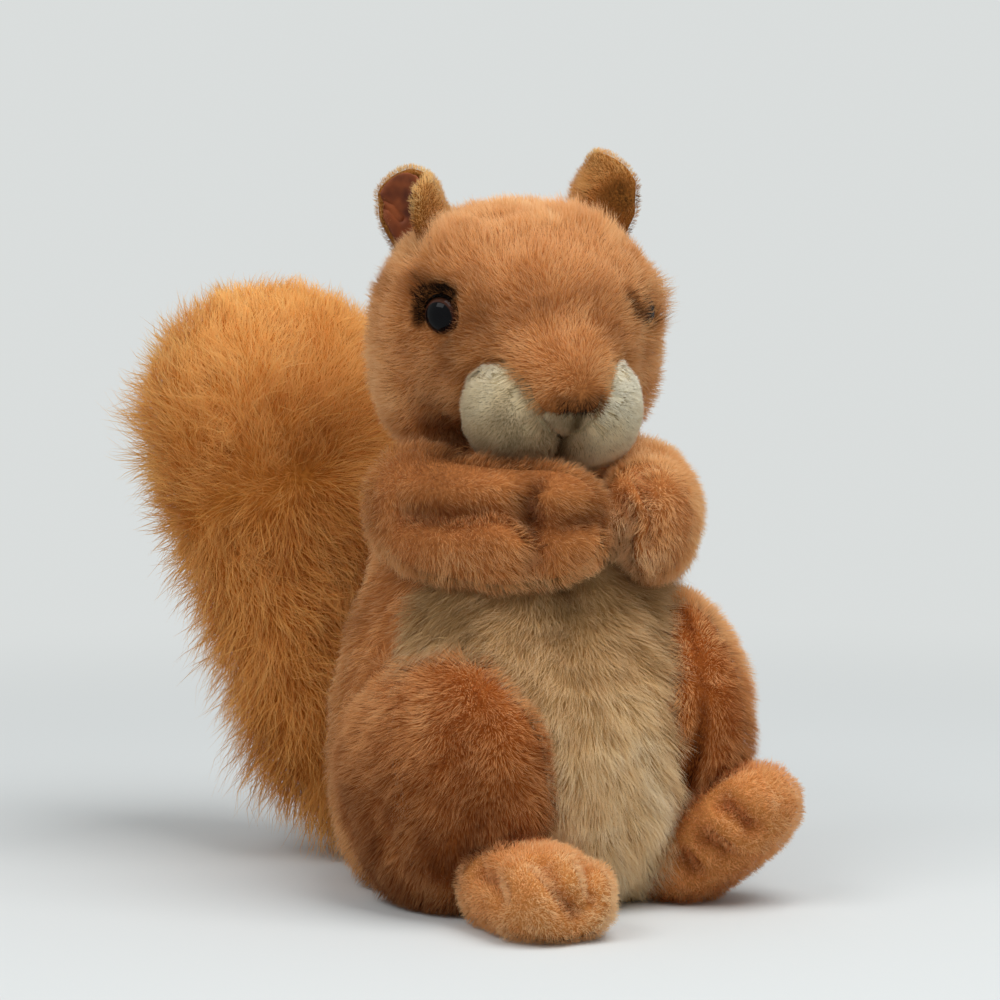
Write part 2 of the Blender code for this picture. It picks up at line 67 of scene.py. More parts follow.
SIGHT_SHIFT = -0.0033
SIGHT_RISE = 0.1164

toward_camera = Vector((math.sin(CAMERA_SIDE), -math.cos(CAMERA_SIDE), 0.0))
screen_right = Vector((math.cos(CAMERA_SIDE), math.sin(CAMERA_SIDE), 0.0))
sight = screen_right * SIGHT_SHIFT + Vector((0.0, 0.0, SIGHT_RISE))
camera = bpy.data.objects.new("camera", bpy.data.cameras.new("camera"))
bpy.context.scene.collection.objects.link(camera)
camera.location = Vector((sight.x, sight.y, CAMERA_RISE)) + toward_camera * CAMERA_AWAY
camera.rotation_euler = (sight - camera.location).to_track_quat("-Z", "Y").to_euler()
camera.data.sensor_width = 36.0
camera.data.lens = CAMERA_AWAY / (PIXEL * 1000.0) * camera.data.sensor_width
bpy.context.scene.camera = camera

# Studio: a pale table top that fades into an even pale backdrop, a large soft lamp above and to
# the right, a weaker one from the left, and the room's own light.
BACKDROP = (0.70, 0.725, 0.72)
TABLE = (0.62, 0.64, 0.635)
TABLE_RADIUS = 2.5

bpy.context.scene.view_settings.view_transform = "Standard"


def colour(red, green, blue):
    """A colour given as on a screen, from 0 to 255, as the light that it sends."""
    parts = [value / 255.0 for value in (red, green, blue)]
    return tuple(((part + 0.055) / 1.055) ** 2.4 if part > 0.04045 else part / 12.92 for part in parts)


def new_material(name):
    """A material with its node tree, its shader and its output."""
    material = bpy.data.materials.new(name)
    material.use_nodes = True
    tree = material.node_tree
    return material, tree, tree.nodes["Principled BSDF"], tree.nodes["Material Output"]


def lamp(name, place, width, height, power):
    light = bpy.data.lights.new(name, "AREA")
    light.shape = "RECTANGLE"
    light.size = width
    light.size_y = height
    light.energy = power
    holder = bpy.data.objects.new(name, light)
    bpy.context.scene.collection.objects.link(holder)
    holder.location = place
    holder.rotation_euler = (sight - Vector(place)).to_track_quat("-Z", "Y").to_euler()


up = Vector((0.0, 0.0, 1.0))
lamp("window_lamp", screen_right * 0.40 + toward_camera * 0.32 + up * 1.20, 0.9, 0.9, 12.3)
lamp("side_lamp", screen_right * -0.62 + toward_camera * 0.66 + up * 1.00, 0.8, 0.45, 5.2)

world = bpy.data.worlds.new("room")
bpy.context.scene.world = world
world.use_nodes = True
nodes, links = world.node_tree.nodes, world.node_tree.links
room_light = nodes["Background"]
room_light.inputs["Color"].default_value = (0.93, 0.97, 1.0, 1.0)
room_light.inputs["Strength"].default_value = 0.49
backdrop_light = nodes.new("ShaderNodeBackground")
backdrop_light.inputs["Color"].default_value = (*BACKDROP, 1.0)


def seen_directly(tree):
    """1 for a ray that the camera sends, or that a mirror or clear surface sends on."""
    path = tree.nodes.new("ShaderNodeLightPath")
    value = path.outputs["Is Camera Ray"]
    for kind in ("Is Glossy Ray", "Is Transmission Ray"):
        either = tree.nodes.new("ShaderNodeMath")
        either.operation = "MAXIMUM"
        tree.links.new(value, either.inputs[0])
        tree.links.new(path.outputs[kind], either.inputs[1])
        value = either.outputs["Value"]
    return value


either = nodes.new("ShaderNodeMixShader")
links.new(seen_directly(world.node_tree), either.inputs["Fac"])
links.new(room_light.outputs["Background"], either.inputs[1])
links.new(backdrop_light.outputs["Background"], either.inputs[2])
links.new(either.outputs["Shader"], nodes["World Output"].inputs["Surface"])

bm = bmesh.new()
bmesh.ops.create_circle(bm, cap_ends=True, segments=96, radius=TABLE_RADIUS)
mesh = bpy.data.meshes.new("table_top")
bm.to_mesh(mesh)
bm.free()
table_top = bpy.data.objects.new("table_top", mesh)
bpy.context.scene.collection.objects.link(table_top)
material, tree, shader, output = new_material("pale_table")
shader.inputs["Base Color"].default_value = (*TABLE, 1.0)
shader.inputs["Roughness"].default_value = 0.9
shader.inputs["Specular IOR Level"].default_value = 0.1
places = tree.nodes.new("ShaderNodeTexCoord")
distance = tree.nodes.new("ShaderNodeVectorMath")
distance.operation = "LENGTH"
fade = tree.nodes.new("ShaderNodeMapRange")
fade.interpolation_type = "SMOOTHSTEP"
fade.inputs["From Min"].default_value = 0.16
fade.inputs["From Max"].default_value = 0.75
faded = tree.nodes.new("ShaderNodeMath")
faded.operation = "MULTIPLY"
even = tree.nodes.new("ShaderNodeEmission")
even.inputs["Color"].default_value = (*BACKDROP, 1.0)
either = tree.nodes.new("ShaderNodeMixShader")
tree.links.new(places.outputs["Object"], distance.inputs[0])
tree.links.new(distance.outputs["Value"], fade.inputs["Value"])
tree.links.new(fade.outputs["Result"], faded.inputs[0])
tree.links.new(seen_directly(tree), faded.inputs[1])
tree.links.new(faded.outputs["Value"], either.inputs["Fac"])
tree.links.new(shader.outputs["BSDF"], either.inputs[1])
tree.links.new(even.outputs["Emission"], either.inputs[2])
tree.links.new(either.outputs["Shader"], output.inputs["Surface"])
mesh.materials.append(material)

# Head: a stuffed ball of knitted cloth with a medium pile, one skin from the skull to the snout.
# The pile stands out from the nose all round, and was sprayed darker round the eyes and the nose.
HEAD_KNIT = 0.0020  # mesh of the skin's cloth
HEAD_PILE = 0.0054
HEAD_HAIRS = 90000
NOSE_SHARE = 0.30  # how high the nose lies in the head's box
HAIR_WIDTH = 0.00014
HAIR_TONE = 0.004  # width of one hair on its colour map
PROUD_SHARE = 0.028  # how far the pile may stand out of the CAD model's box: a share of each side
PROUD = 0.0095  # and this much more
LID_SPOT = (424, 299)  # in the picture
FAR_LIDS = [(621, 295), (625, 302), (629, 310), (633, 318), (637, 326)]
TEAR_SPOT = (480, 336)
NOSE_SPOT = (574, 406)
NOSE_SIDES = [(556, 403), (592, 402)]
LIT_CHEEK_SPOTS = [(412, 385), (648, 372)]
BROW_SPOT = (424, 270)
ORANGE_SPOT = (550, 275)
EAR_FEET = [(452, 244), (584, 228)]
NOSE_EDGE = 0.0014  # lower edge of the nose below its spot

random = np.random.default_rng(7)
lowest, highest = (np.array(corner) for corner in cad_box)
reach_low = lowest - (highest - lowest) * PROUD_SHARE - PROUD
reach_high = highest + (highest - lowest) * PROUD_SHARE + PROUD
reach_low[2] = 0.0004


def read_points(mesh):
    points = np.empty(len(mesh.vertices) * 3, np.float32)
    mesh.vertices.foreach_get("co", points)
    return points.reshape(-1, 3).astype(float)


def read_outward(mesh):
    ways = np.empty(len(mesh.vertices) * 3, np.float32)
    mesh.vertices.foreach_get("normal", ways)
    return ways.reshape(-1, 3).astype(float)


def write_points(mesh, points):
    mesh.vertices.foreach_set("co", points.astype(np.float32).ravel())
    mesh.update()


def unit(vectors):
    return vectors / np.maximum(np.linalg.norm(vectors, axis=-1, keepdims=True), 1e-9)


def smooth_step(low, high, values):
    share = np.clip((values - low) / (high - low), 0.0, 1.0)
    return share * share * (3.0 - 2.0 * share)


def near_to(places, spot, inner, outer):
    """1 within the inner distance of a spot, 0 past the outer one."""
    return 1.0 - smooth_step(inner, outer, np.linalg.norm(places - spot, axis=1))


def waves(points, length, seed):
    """Soft uneven values from about -1 to 1 over space, with swells about one length across."""
    source = np.random.default_rng(seed)
    total = np.zeros(len(points))
    for _ in range(7):
        way = unit(source.normal(size=3)) * 2.0 * math.pi / (length * source.uniform(0.8, 2.2))
        total += np.sin(points @ way + source.uniform(0.0, 2.0 * math.pi))
    return total / 2.6


def evened(mesh, steps, strength=0.5):
    """Evens out a mesh by moving each corner towards its neighbours."""
    bm = bmesh.new()
    bm.from_mesh(mesh)
    for _ in range(steps):
        bmesh.ops.smooth_vert(
            bm, verts=bm.verts, factor=strength, use_axis_x=True, use_axis_y=True, use_axis_z=True
        )
    bm.to_mesh(mesh)
    bm.free()


def stuffed_cloth(name, node, knit, evening, backing, swell=0.0):
    """A stuffed skin in the place of a CAD node: its form, evened and pressed out by its stuffing."""
    bm = bmesh.new()
    bm.from_mesh(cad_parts[node].data)
    bmesh.ops.remove_doubles(bm, verts=bm.verts, dist=1e-6)
    mesh = bpy.data.meshes.new(name)
    bm.to_mesh(mesh)
    bm.free()
    skin = bpy.data.objects.new(name, mesh)
    bpy.context.scene.collection.objects.link(skin)
    fine = skin.modifiers.new("knit", "REMESH")
    fine.mode = "VOXEL"
    fine.voxel_size = knit
    settled = bpy.data.meshes.new_from_object(skin.evaluated_get(bpy.context.evaluated_depsgraph_get()))
    skin.modifiers.clear()
    skin.data = settled
    skin.data.name = name
    evened(skin.data, evening)
    if swell:
        rest = read_points(skin.data)
        stuffing = skin.modifiers.new("stuffing", "CLOTH")
        stuffing.settings.use_pressure = True
        stuffing.settings.uniform_pressure_force = 4.0
        stuffing.settings.effector_weights.gravity = 0.0
        for number in range(1, 21):
            bpy.context.scene.frame_set(number)
        full = bpy.data.meshes.new_from_object(skin.evaluated_get(bpy.context.evaluated_depsgraph_get()))
        moved = read_points(full) - rest
        far = np.linalg.norm(moved, axis=1, keepdims=True)
        moved *= np.minimum(1.0, swell / np.maximum(far, 1e-9))
        skin.modifiers.clear()
        bpy.context.scene.frame_set(1)
        write_points(skin.data, rest + moved)
        evened(skin.data, 2)
    resting = read_points(skin.data)
    resting[:, 2] = np.maximum(resting[:, 2], 0.0)
    write_points(skin.data, resting)
    skin.data.materials.clear()
    skin.data.materials.append(backing)
    skin.data.shade_smooth()
    skin.data.update()
    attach(skin, "root")
    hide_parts(node)
    return skin


def search_tree(mesh):
    return BVHTree.FromPolygons([v.co for v in mesh.vertices], [f.vertices for f in mesh.polygons])


def others(*own):
    """A search tree of the outer faces of all CAD nodes but the given ones and the hidden washers."""
    corners, faces = [], []
    for node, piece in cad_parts.items():
        if node in own or node.startswith("eye_washer"):
            continue
        first = len(corners)
        corners += [vertex.co for vertex in piece.data.vertices]
        faces += [[first + index for index in face.vertices] for face in piece.data.polygons]
    return BVHTree.FromPolygons(corners, faces)


turn = camera.rotation_euler.to_matrix()


def seen_at(skin, x, y):
    """The point of a skin that shows at a place of the picture, in pixels of a thousand."""
    shift = PIXEL / CAMERA_AWAY
    way = turn @ Vector(((x - 500.0) * shift, (500.0 - y) * shift, -1.0)).normalized()
    spot = search_tree(skin.data).ray_cast(camera.location, way)[0]
    return None if spot is None else np.array(spot)


def sewn_line(skin, line, depth, width):
    """Draws a skin in along a line of stitches, which is given by its places in the picture."""
    tree = search_tree(skin.data)
    shift = PIXEL / CAMERA_AWAY
    stitches = []
    for (x0, y0), (x1, y1) in zip(line, line[1:]):
        for share in np.linspace(0.0, 1.0, 9):
            x, y = x0 + (x1 - x0) * share, y0 + (y1 - y0) * share
            way = turn @ Vector(((x - 500.0) * shift, (500.0 - y) * shift, -1.0)).normalized()
            spot = tree.ray_cast(camera.location, way)[0]
            if spot is not None:
                stitches.append(np.array(spot))
    stitches = np.array(stitches)
    points = read_points(skin.data)
    gaps = np.linalg.norm(points[:, None, :] - stitches[None, :, :], axis=2).min(axis=1)
    press = depth * np.exp(-((gaps / width) ** 2))
    write_points(skin.data, points - read_outward(skin.data) * press[:, None])
    return stitches


def roots_on(skin, count, near, crowded, density=None):
    """Even places for hairs all over a skin, but not where a neighbour or a fold covers it.

    Gives the places and the skin's outward directions there.
    """
    mesh = skin.data
    mesh.calc_loop_triangles()
    corners = np.empty(len(mesh.loop_triangles) * 3, np.int32)
    mesh.loop_triangles.foreach_get("vertices", corners)
    corners = corners.reshape(-1, 3)
    points, ways = read_points(mesh), read_outward(mesh)
    first, second, third = (points[corners[:, index]] for index in range(3))
    area = np.linalg.norm(np.cross(second - first, third - first), axis=1) / 2.0
    middle = (first + second + third) / 3.0
    facing = unit(ways[corners].sum(axis=1))
    own = search_tree(mesh)
    for index in range(len(area)):
        start, way = Vector(middle[index]), Vector(facing[index])
        covered = near.ray_cast(start - way * 0.001, way, 0.001 + crowded)[0]
        folded = own.ray_cast(start + way * 0.0004, way, 0.008)[0]
        if covered is not None or folded is not None or middle[index][2] < 0.0006:
            area[index] = 0.0
    if density is not None:
        area *= density(middle)
    steps = np.cumsum(area)
    picks = (np.arange(count) + random.uniform(size=count)) / count * steps[-1]
    chosen = np.minimum(np.searchsorted(steps, picks), len(area) - 1)
    one, two = random.uniform(size=(2, count))
    over = one + two > 1.0
    one[over], two[over] = 1.0 - one[over], 1.0 - two[over]
    shares = np.stack((1.0 - one - two, one, two), axis=1)[:, :, None]
    return (points[corners[chosen]] * shares).sum(axis=1), unit((ways[corners[chosen]] * shares).sum(axis=1))


def pile(
    name, skin, count, near, length, rise, comb, tone, material, seams=(), together=13,
    gather=0.26, curl=0.06, joints=2, width=HAIR_WIDTH, stray=0.22, sway=0.40, crowded=0.0012,
    droop=0.0, density=None, ragged=0.17, even=0.62,
):
    """The pile of one skin: thin tapered blades, each bent over its length.

    Length, comb and tone are functions of the roots' places and of the skin's directions there.
    Rise is the angle at which hairs leave the skin. Hairs gather by their tips into tufts, part
    at the seams, and lie against a neighbour that they would enter.
    """
    places, outward = roots_on(skin, count, near, crowded, density)
    lengths = length(places, outward) * random.uniform(1.0 - ragged * 1.3, 1.0 + ragged, count)
    tones = tone(places, outward) + random.normal(0.0, 0.05, count)
    if len(seams):
        stitches = np.concatenate(seams)
        gaps = np.full(count, 1.0)
        for stitch in stitches:
            gaps = np.minimum(gaps, np.linalg.norm(places - stitch, axis=1))
        # Along the seams the hairs are shorter and darker: painted shade in the creases, and on the toes
        # also their sprayed dark slits.
        lengths *= 0.36 + 0.64 * smooth_step(0.0008, 0.0050, gaps)
        tones -= 0.72 * (1.0 - smooth_step(0.0008, 0.0038, gaps))
    along = comb(places, outward)
    along = unit(along - outward * (along * outward).sum(axis=1, keepdims=True))
    sideways = np.cross(outward, along)
    swing = sway * waves(places, 0.009, 11) + random.normal(0.0, stray, count)
    along = along * np.cos(swing)[:, None] + sideways * np.sin(swing)[:, None]
    lift = rise + 0.16 * waves(places, 0.006, 12) + random.normal(0.0, stray * 0.6, count)
    start_way = outward * np.sin(lift + 0.30)[:, None] + along * np.cos(lift + 0.30)[:, None]
    end_way = outward * np.sin(lift - 0.25)[:, None] + along * np.cos(lift - 0.25)[:, None]
    end_way[:, 2] -= droop
    end_way = unit(end_way)
    twirl = unit(random.normal(size=(count, 3)))
    points = [places]
    for joint in range(joints):
        share = (joint + 0.5) / joints
        way = unit(start_way * (1.0 - share) + end_way * share)
        points.append(points[-1] + way * (lengths / joints)[:, None])
    for joint in range(1, joints + 1):
        bend = math.sin(2.6 * joint / joints + 0.5)
        points[joint] = points[joint] + twirl * (curl * bend * lengths)[:, None]
    leaders = random.choice(count, count // together, replace=False)
    finder = KDTree(len(leaders))
    for order, leader in enumerate(leaders):
        finder.insert(places[leader], order)
    finder.balance()
    leader_of = np.array([leaders[finder.find(place)[1]] for place in places])
    pull = gather * random.uniform(0.4, 1.4, count)
    for joint in range(1, joints + 1):
        goal = points[joint][leader_of]
        share = (joint / joints) ** 1.4
        points[joint] = points[joint] + (goal - points[joint]) * (pull * share)[:, None]
    for joint in range(1, joints + 1):
        points[joint] = np.clip(points[joint], reach_low, reach_high)
        for index, point in enumerate(points[joint]):
            spot, way, _, _ = near.find_nearest(point, 0.006)
            if spot is not None and (Vector(point) - spot).dot(way) < 0.0003:
                points[joint][index] = spot + way * 0.0005
    tones = np.clip(tones, HAIR_TONE, 1.0 - HAIR_TONE)
    blades(name, points, outward, tones, width, even, material)


def blades(name, points, outward, tones, width, even, material):
    """One mesh of hairs: each starts and ends in a point and is a pair of corners at each joint.

    Even is how far the hairs catch the light as the skin under them does.
    """
    count, joints = len(tones), len(points) - 1
    run = unit(points[-1] - points[0])
    twist = random.uniform(-0.7, 0.7, count)[:, None]
    across = unit(np.cross(run, outward))
    across = unit(across * np.cos(twist) + np.cross(across, run) * np.sin(twist))
    facing = unit(np.cross(across, run))
    facing *= np.where((facing * outward).sum(axis=1, keepdims=True) < 0.0, -1.0, 1.0)
    shading = unit(outward * even + facing * (1.0 - even))
    each = 2 * joints
    corners = np.empty((count, each, 3))
    tone_map = np.empty((count, each, 2))
    corners[:, 0], corners[:, -1] = points[0], points[-1]
    tone_map[:, 0] = np.stack((tones, np.zeros(count)), axis=1)
    tone_map[:, -1] = np.stack((tones, np.ones(count)), axis=1)
    for joint in range(1, joints):
        half = width * (1.0 - 0.45 * (joint - 1) / max(joints - 1, 1)) / 2.0
        share = np.full(count, joint / joints)
        for side, corner in ((-1.0, 2 * joint - 1), (1.0, 2 * joint)):
            corners[:, corner] = points[joint] + across * (half * side)
            tone_map[:, corner] = np.stack((tones + HAIR_TONE * side / 2.0, share), axis=1)
    pattern = [(0, 2, 1)]
    for low in range(1, each - 3, 2):
        pattern += [(low, low + 1, low + 2), (low + 1, low + 3, low + 2)]
    pattern.append((each - 3, each - 2, each - 1))
    faces = (np.array(pattern)[None] + (np.arange(count) * each)[:, None, None]).reshape(-1)
    mesh = bpy.data.meshes.new(name)
    mesh.vertices.add(count * each)
    mesh.vertices.foreach_set("co", corners.astype(np.float32).ravel())
    mesh.loops.add(len(faces))
    mesh.loops.foreach_set("vertex_index", faces.astype(np.int32))
    mesh.polygons.add(len(faces) // 3)
    mesh.polygons.foreach_set("loop_start", np.arange(0, len(faces), 3, dtype=np.int32))
    colour_map = mesh.uv_layers.new(name="OFBake")
    colour_map.data.foreach_set("uv", tone_map.reshape(-1, 2)[faces].astype(np.float32).ravel())
    mesh.update(calc_edges=True)
    mesh.shade_smooth()
    mesh.normals_split_custom_set_from_vertices(np.repeat(shading, each, axis=0))
    mesh.materials.append(material)
    hairs = bpy.data.objects.new(name, mesh)
    bpy.context.scene.collection.objects.link(hairs)
    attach(hairs, "root")


def pile_shade():
    """Colour of a hair from its root, dark and close, to its tip, which is paler but on dark hairs."""
    group = bpy.data.node_groups.new("pile_shade", "ShaderNodeTree")
    for name, kind in (("Pile", "Color"), ("Tip", "Color"), ("Root Shade", "Float"), ("Tip Share", "Float")):
        group.interface.new_socket(name, in_out="INPUT", socket_type="NodeSocket" + kind)
    group.interface.new_socket("Color", in_out="OUTPUT", socket_type="NodeSocketColor")
    start = group.nodes.new("NodeGroupInput")
    end = group.nodes.new("NodeGroupOutput")
    hair_map = group.nodes.new("ShaderNodeUVMap")
    hair_map.uv_map = "OFBake"
    axes = group.nodes.new("ShaderNodeSeparateXYZ")
    from_root = group.nodes.new("ShaderNodeMapRange")
    from_root.interpolation_type = "SMOOTHSTEP"
    from_root.inputs["From Max"].default_value = 0.65
    shaded = group.nodes.new("ShaderNodeVectorMath")
    shaded.operation = "SCALE"
    near_tip = group.nodes.new("ShaderNodeMapRange")
    near_tip.interpolation_type = "SMOOTHSTEP"
    near_tip.inputs["From Min"].default_value = 0.45
    fair = group.nodes.new("ShaderNodeMapRange")
    fair.inputs["From Min"].default_value = 0.12
    fair.inputs["From Max"].default_value = 0.55
    frosted = group.nodes.new("ShaderNodeMath")
    frosted.operation = "MULTIPLY"
    bleached = group.nodes.new("ShaderNodeMix")
    bleached.data_type = "RGBA"
    link = group.links.new
    link(hair_map.outputs["UV"], axes.inputs["Vector"])
    link(axes.outputs["Y"], from_root.inputs["Value"])
    link(start.outputs["Root Shade"], from_root.inputs["To Min"])
    link(start.outputs["Pile"], shaded.inputs[0])
    link(from_root.outputs["Result"], shaded.inputs["Scale"])
    link(axes.outputs["Y"], near_tip.inputs["Value"])
    link(start.outputs["Tip Share"], near_tip.inputs["To Max"])
    link(axes.outputs["X"], fair.inputs["Value"])
    link(near_tip.outputs["Result"], frosted.inputs[0])
    link(fair.outputs["Result"], frosted.inputs[1])
    link(frosted.outputs["Value"], bleached.inputs["Factor"])
    link(shaded.outputs["Vector"], bleached.inputs["A"])
    link(start.outputs["Tip"], bleached.inputs["B"])
    link(bleached.outputs["Result"], end.inputs["Color"])
    return group


hair_shading = pile_shade()


def pile_material(name, tones, tip, root_shade=0.80, tip_share=0.35):
    """Pile whose hairs go through the given (place, colour) tones, from the darkest to the palest.

    Half of the light that a hair sends on goes through it.
    """
    material, tree, shader, output = new_material(name)
    hair_map = tree.nodes.new("ShaderNodeUVMap")
    hair_map.uv_map = "OFBake"
    axes = tree.nodes.new("ShaderNodeSeparateXYZ")
    ramp = tree.nodes.new("ShaderNodeValToRGB")
    stops = ramp.color_ramp.elements
    while len(stops) < len(tones):
        stops.new(0.5)
    for stop, (place, value) in zip(stops, tones):
        stop.position = place
        stop.color = (*colour(*value), 1.0)
    hair = tree.nodes.new("ShaderNodeGroup")
    hair.node_tree = hair_shading
    hair.inputs["Root Shade"].default_value = root_shade
    hair.inputs["Tip Share"].default_value = tip_share
    hair.inputs["Tip"].default_value = (*colour(*tip), 1.0)
    tree.links.new(hair_map.outputs["UV"], axes.inputs["Vector"])
    tree.links.new(axes.outputs["X"], ramp.inputs["Fac"])
    tree.links.new(ramp.outputs["Color"], hair.inputs["Pile"])
    tree.links.new(hair.outputs["Color"], shader.inputs["Base Color"])
    through = tree.nodes.new("ShaderNodeBsdfTranslucent")
    both = tree.nodes.new("ShaderNodeMixShader")
    tree.links.new(hair.outputs["Color"], through.inputs["Color"])
    tree.links.new(shader.outputs["BSDF"], both.inputs[1])
    tree.links.new(through.outputs["BSDF"], both.inputs[2])
    tree.links.new(both.outputs["Shader"], output.inputs["Surface"])
    shader.inputs["Roughness"].default_value = 0.8
    shader.inputs["Specular IOR Level"].default_value = 0.1
    shader.inputs["Sheen Weight"].default_value = 0.06
    shader.inputs["Sheen Roughness"].default_value = 0.5
    return material


def backing_material(name, dark, light, scale=900.0):
    """The knitted cloth between the hairs, darker than the pile: painted shade deep in the pile."""
    material, tree, shader, _ = new_material(name)
    places = tree.nodes.new("ShaderNodeTexCoord")
    speckle = tree.nodes.new("ShaderNodeTexNoise")
    speckle.inputs["Scale"].default_value = scale
    speckle.inputs["Detail"].default_value = 3.0
    ramp = tree.nodes.new("ShaderNodeValToRGB")
    ramp.color_ramp.elements[0].position = 0.35
    ramp.color_ramp.elements[0].color = (*colour(*dark), 1.0)
    ramp.color_ramp.elements[1].position = 0.65
    ramp.color_ramp.elements[1].color = (*colour(*light), 1.0)
    knit = tree.nodes.new("ShaderNodeBump")
    knit.inputs["Strength"].default_value = 0.6
    knit.inputs["Distance"].default_value = 0.0004
    tree.links.new(places.outputs["Object"], speckle.inputs["Vector"])
    tree.links.new(speckle.outputs["Fac"], ramp.inputs["Fac"])
    tree.links.new(speckle.outputs["Fac"], knit.inputs["Height"])
    tree.links.new(ramp.outputs["Color"], shader.inputs["Base Color"])
    tree.links.new(knit.outputs["Normal"], shader.inputs["Normal"])
    shader.inputs["Roughness"].default_value = 0.95
    shader.inputs["Specular IOR Level"].default_value = 0.1
    return material


def turned_axis(node):
    """The outer end of a turned node's axis, the way out along it, and the node's length."""
    points = read_points(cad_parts[node].data)
    middle = points.mean(axis=0)
    spread, ways = np.linalg.eigh(np.cov((points - middle).T))
    way = ways[:, 2] if spread[2] - spread[1] > spread[1] - spread[0] else ways[:, 0]
    if way @ (middle - head_middle) < 0.0:
        way = -way
    along = (points - middle) @ way
    return middle + way * along.max(), way, along.max() - along.min()


head_low, head_high = (np.array(corner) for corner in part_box("head"))
head_middle = (head_low + head_high) / 2.0
nose = np.array((
    (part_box("muzzle_right")[1].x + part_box("muzzle_left")[0].x) / 2.0,
    head_low[1],
    head_low[2] + (head_high[2] - head_low[2]) * NOSE_SHARE,
))
eye_axes = {word: turned_axis("eye_" + word) for word in ("left", "right")}
far_eye, near_eye = (top - way * 0.0045 for top, way, _ in eye_axes.values())

brown_backing = backing_material("brown_backing", (150, 92, 48), (180, 116, 64))
head_cloth = stuffed_cloth("head_cloth", "head", HEAD_KNIT, 6, brown_backing)
lid_spot = seen_at(head_cloth, *LID_SPOT)
far_lids = [seen_at(head_cloth, *spot) for spot in FAR_LIDS]
tear_spot = seen_at(head_cloth, *TEAR_SPOT)
lid_way = np.array(up * 0.8 - screen_right * 0.6)
nose_spot = seen_at(head_cloth, *NOSE_SPOT)
nose_sides = [seen_at(head_cloth, *spot) for spot in NOSE_SIDES]
lit_cheek_spots = [seen_at(head_cloth, *spot) for spot in LIT_CHEEK_SPOTS]
brow_spot = seen_at(head_cloth, *BROW_SPOT)
orange_spot = seen_at(head_cloth, *ORANGE_SPOT)
ear_feet = [seen_at(head_cloth, *spot) for spot in EAR_FEET]


def head_comb(places, outward):
    """Away from the nose, down the cheeks, up at the ears, and away from the near eye."""
    way = unit(places - nose)
    way[:, 2] -= 0.2 * smooth_step(0.0, 0.03, nose[2] + 0.03 - places[:, 2])
    for spot in ear_feet:
        way[:, 2] += 1.2 * near_to(places, spot, 0.003, 0.013)
    above = 0.6 + 0.4 * smooth_step(-0.002, 0.003, (places - near_eye) @ lid_way)
    way += unit(places - near_eye) * (2.4 * above * near_to(places, near_eye, 0.006, 0.011))[:, None]
    return way


def head_length(places, outward):
    from_nose = smooth_step(0.004, 0.032, np.linalg.norm(places - nose, axis=1))
    lengths = HEAD_PILE * (0.76 + 0.24 * from_nose) * (1.0 + 0.13 * waves(places, 0.008, 3))
    above = smooth_step(-0.002, 0.003, (places - near_eye) @ lid_way)
    lengths *= 1.0 - 0.45 * near_to(places, near_eye, 0.0068, 0.012)
    lengths *= 1.0 - 0.22 * above * near_to(places, near_eye, 0.0072, 0.0100)
    for spot in ear_feet:
        lengths *= 1.0 + 0.70 * near_to(places, spot, 0.003, 0.012)
    return lengths * (1.0 + 0.95 * near_to(places, far_eye, 0.006, 0.0115))


def head_tone(places, outward):
    tones = 0.60 + 0.09 * waves(places, 0.014, 4) + 0.05 * waves(places, 0.005, 5)
    # Paler towards the crown and darker under the jaw: partly the pile's own paler crown, partly painted
    # light from above and painted shade under the head.
    tones += 0.15 * smooth_step(0.008, 0.036, places[:, 2] - head_middle[2])
    tones -= 0.12 * smooth_step(0.010, 0.036, head_middle[2] - places[:, 2])
    above = smooth_step(-0.001, 0.003, (places - near_eye) @ lid_way)
    tones -= 0.58 * above * near_to(places, near_eye, 0.0068, 0.0096)
    tones -= 0.14 * near_to(places, near_eye, 0.0080, 0.0200)
    tones -= 0.50 * near_to(places, lid_spot, 0.0010, 0.0036)
    tones -= 0.13 * near_to(places, tear_spot, 0.004, 0.016)
    for spot in far_lids:
        tones -= 0.36 * near_to(places, spot, 0.0010, 0.0036)
    for spot in (nose_spot, *nose_sides):
        tones -= 0.38 * near_to(places, spot, 0.0014, 0.0062)
    # Painted light: the pile is made paler on both cheeks.
    for spot in lit_cheek_spots:
        tones += 0.12 * near_to(places, spot, 0.006, 0.022)
    tones -= 0.10 * near_to(places, brow_spot, 0.003, 0.018)
    tones -= 0.12 * near_to(places, orange_spot, 0.003, 0.016)
    return tones


brown_tones = [
    (0.0, (36, 21, 10)), (0.18, (108, 66, 30)), (0.38, (182, 119, 62)), (0.60, (228, 165, 98)),
    (0.80, (241, 191, 130)), (1.0, (249, 216, 168)),
]
brown_pile = pile_material("brown_pile", brown_tones, (254, 228, 186), 0.76, 0.46)


def under_nose(places):
    """1 on the strip of the head that shows between the muzzle pads, below the tip of the nose."""
    close = near_to(places, nose_spot, 0.013, 0.015)
    return close * (places[:, 2] < nose_spot[2] - NOSE_EDGE)


def head_density(places):
    """No brown pile below the nose, and a closer one on the lid above the near eye."""
    above = smooth_step(-0.001, 0.003, (places - near_eye) @ lid_way)
    return (1.0 - under_nose(places)) * (1.0 + 4.0 * above * near_to(places, near_eye, 0.0072, 0.0105))


head_near = others("head")
pile(
    "head_pile", head_cloth, HEAD_HAIRS, head_near, head_length, math.radians(46.0), head_comb,
    head_tone, brown_pile, density=head_density,
    stray=0.34, ragged=0.24, gather=0.20,
)

# Muzzle: a pair of pads of very short velvety cream pile, stuffed full and pressed together under
# the snout along a seam.
MUZZLE_PILE = 0.0022
MUZZLE_HAIRS = 22000
MUZZLE_MIDDLE_HAIRS = 3000

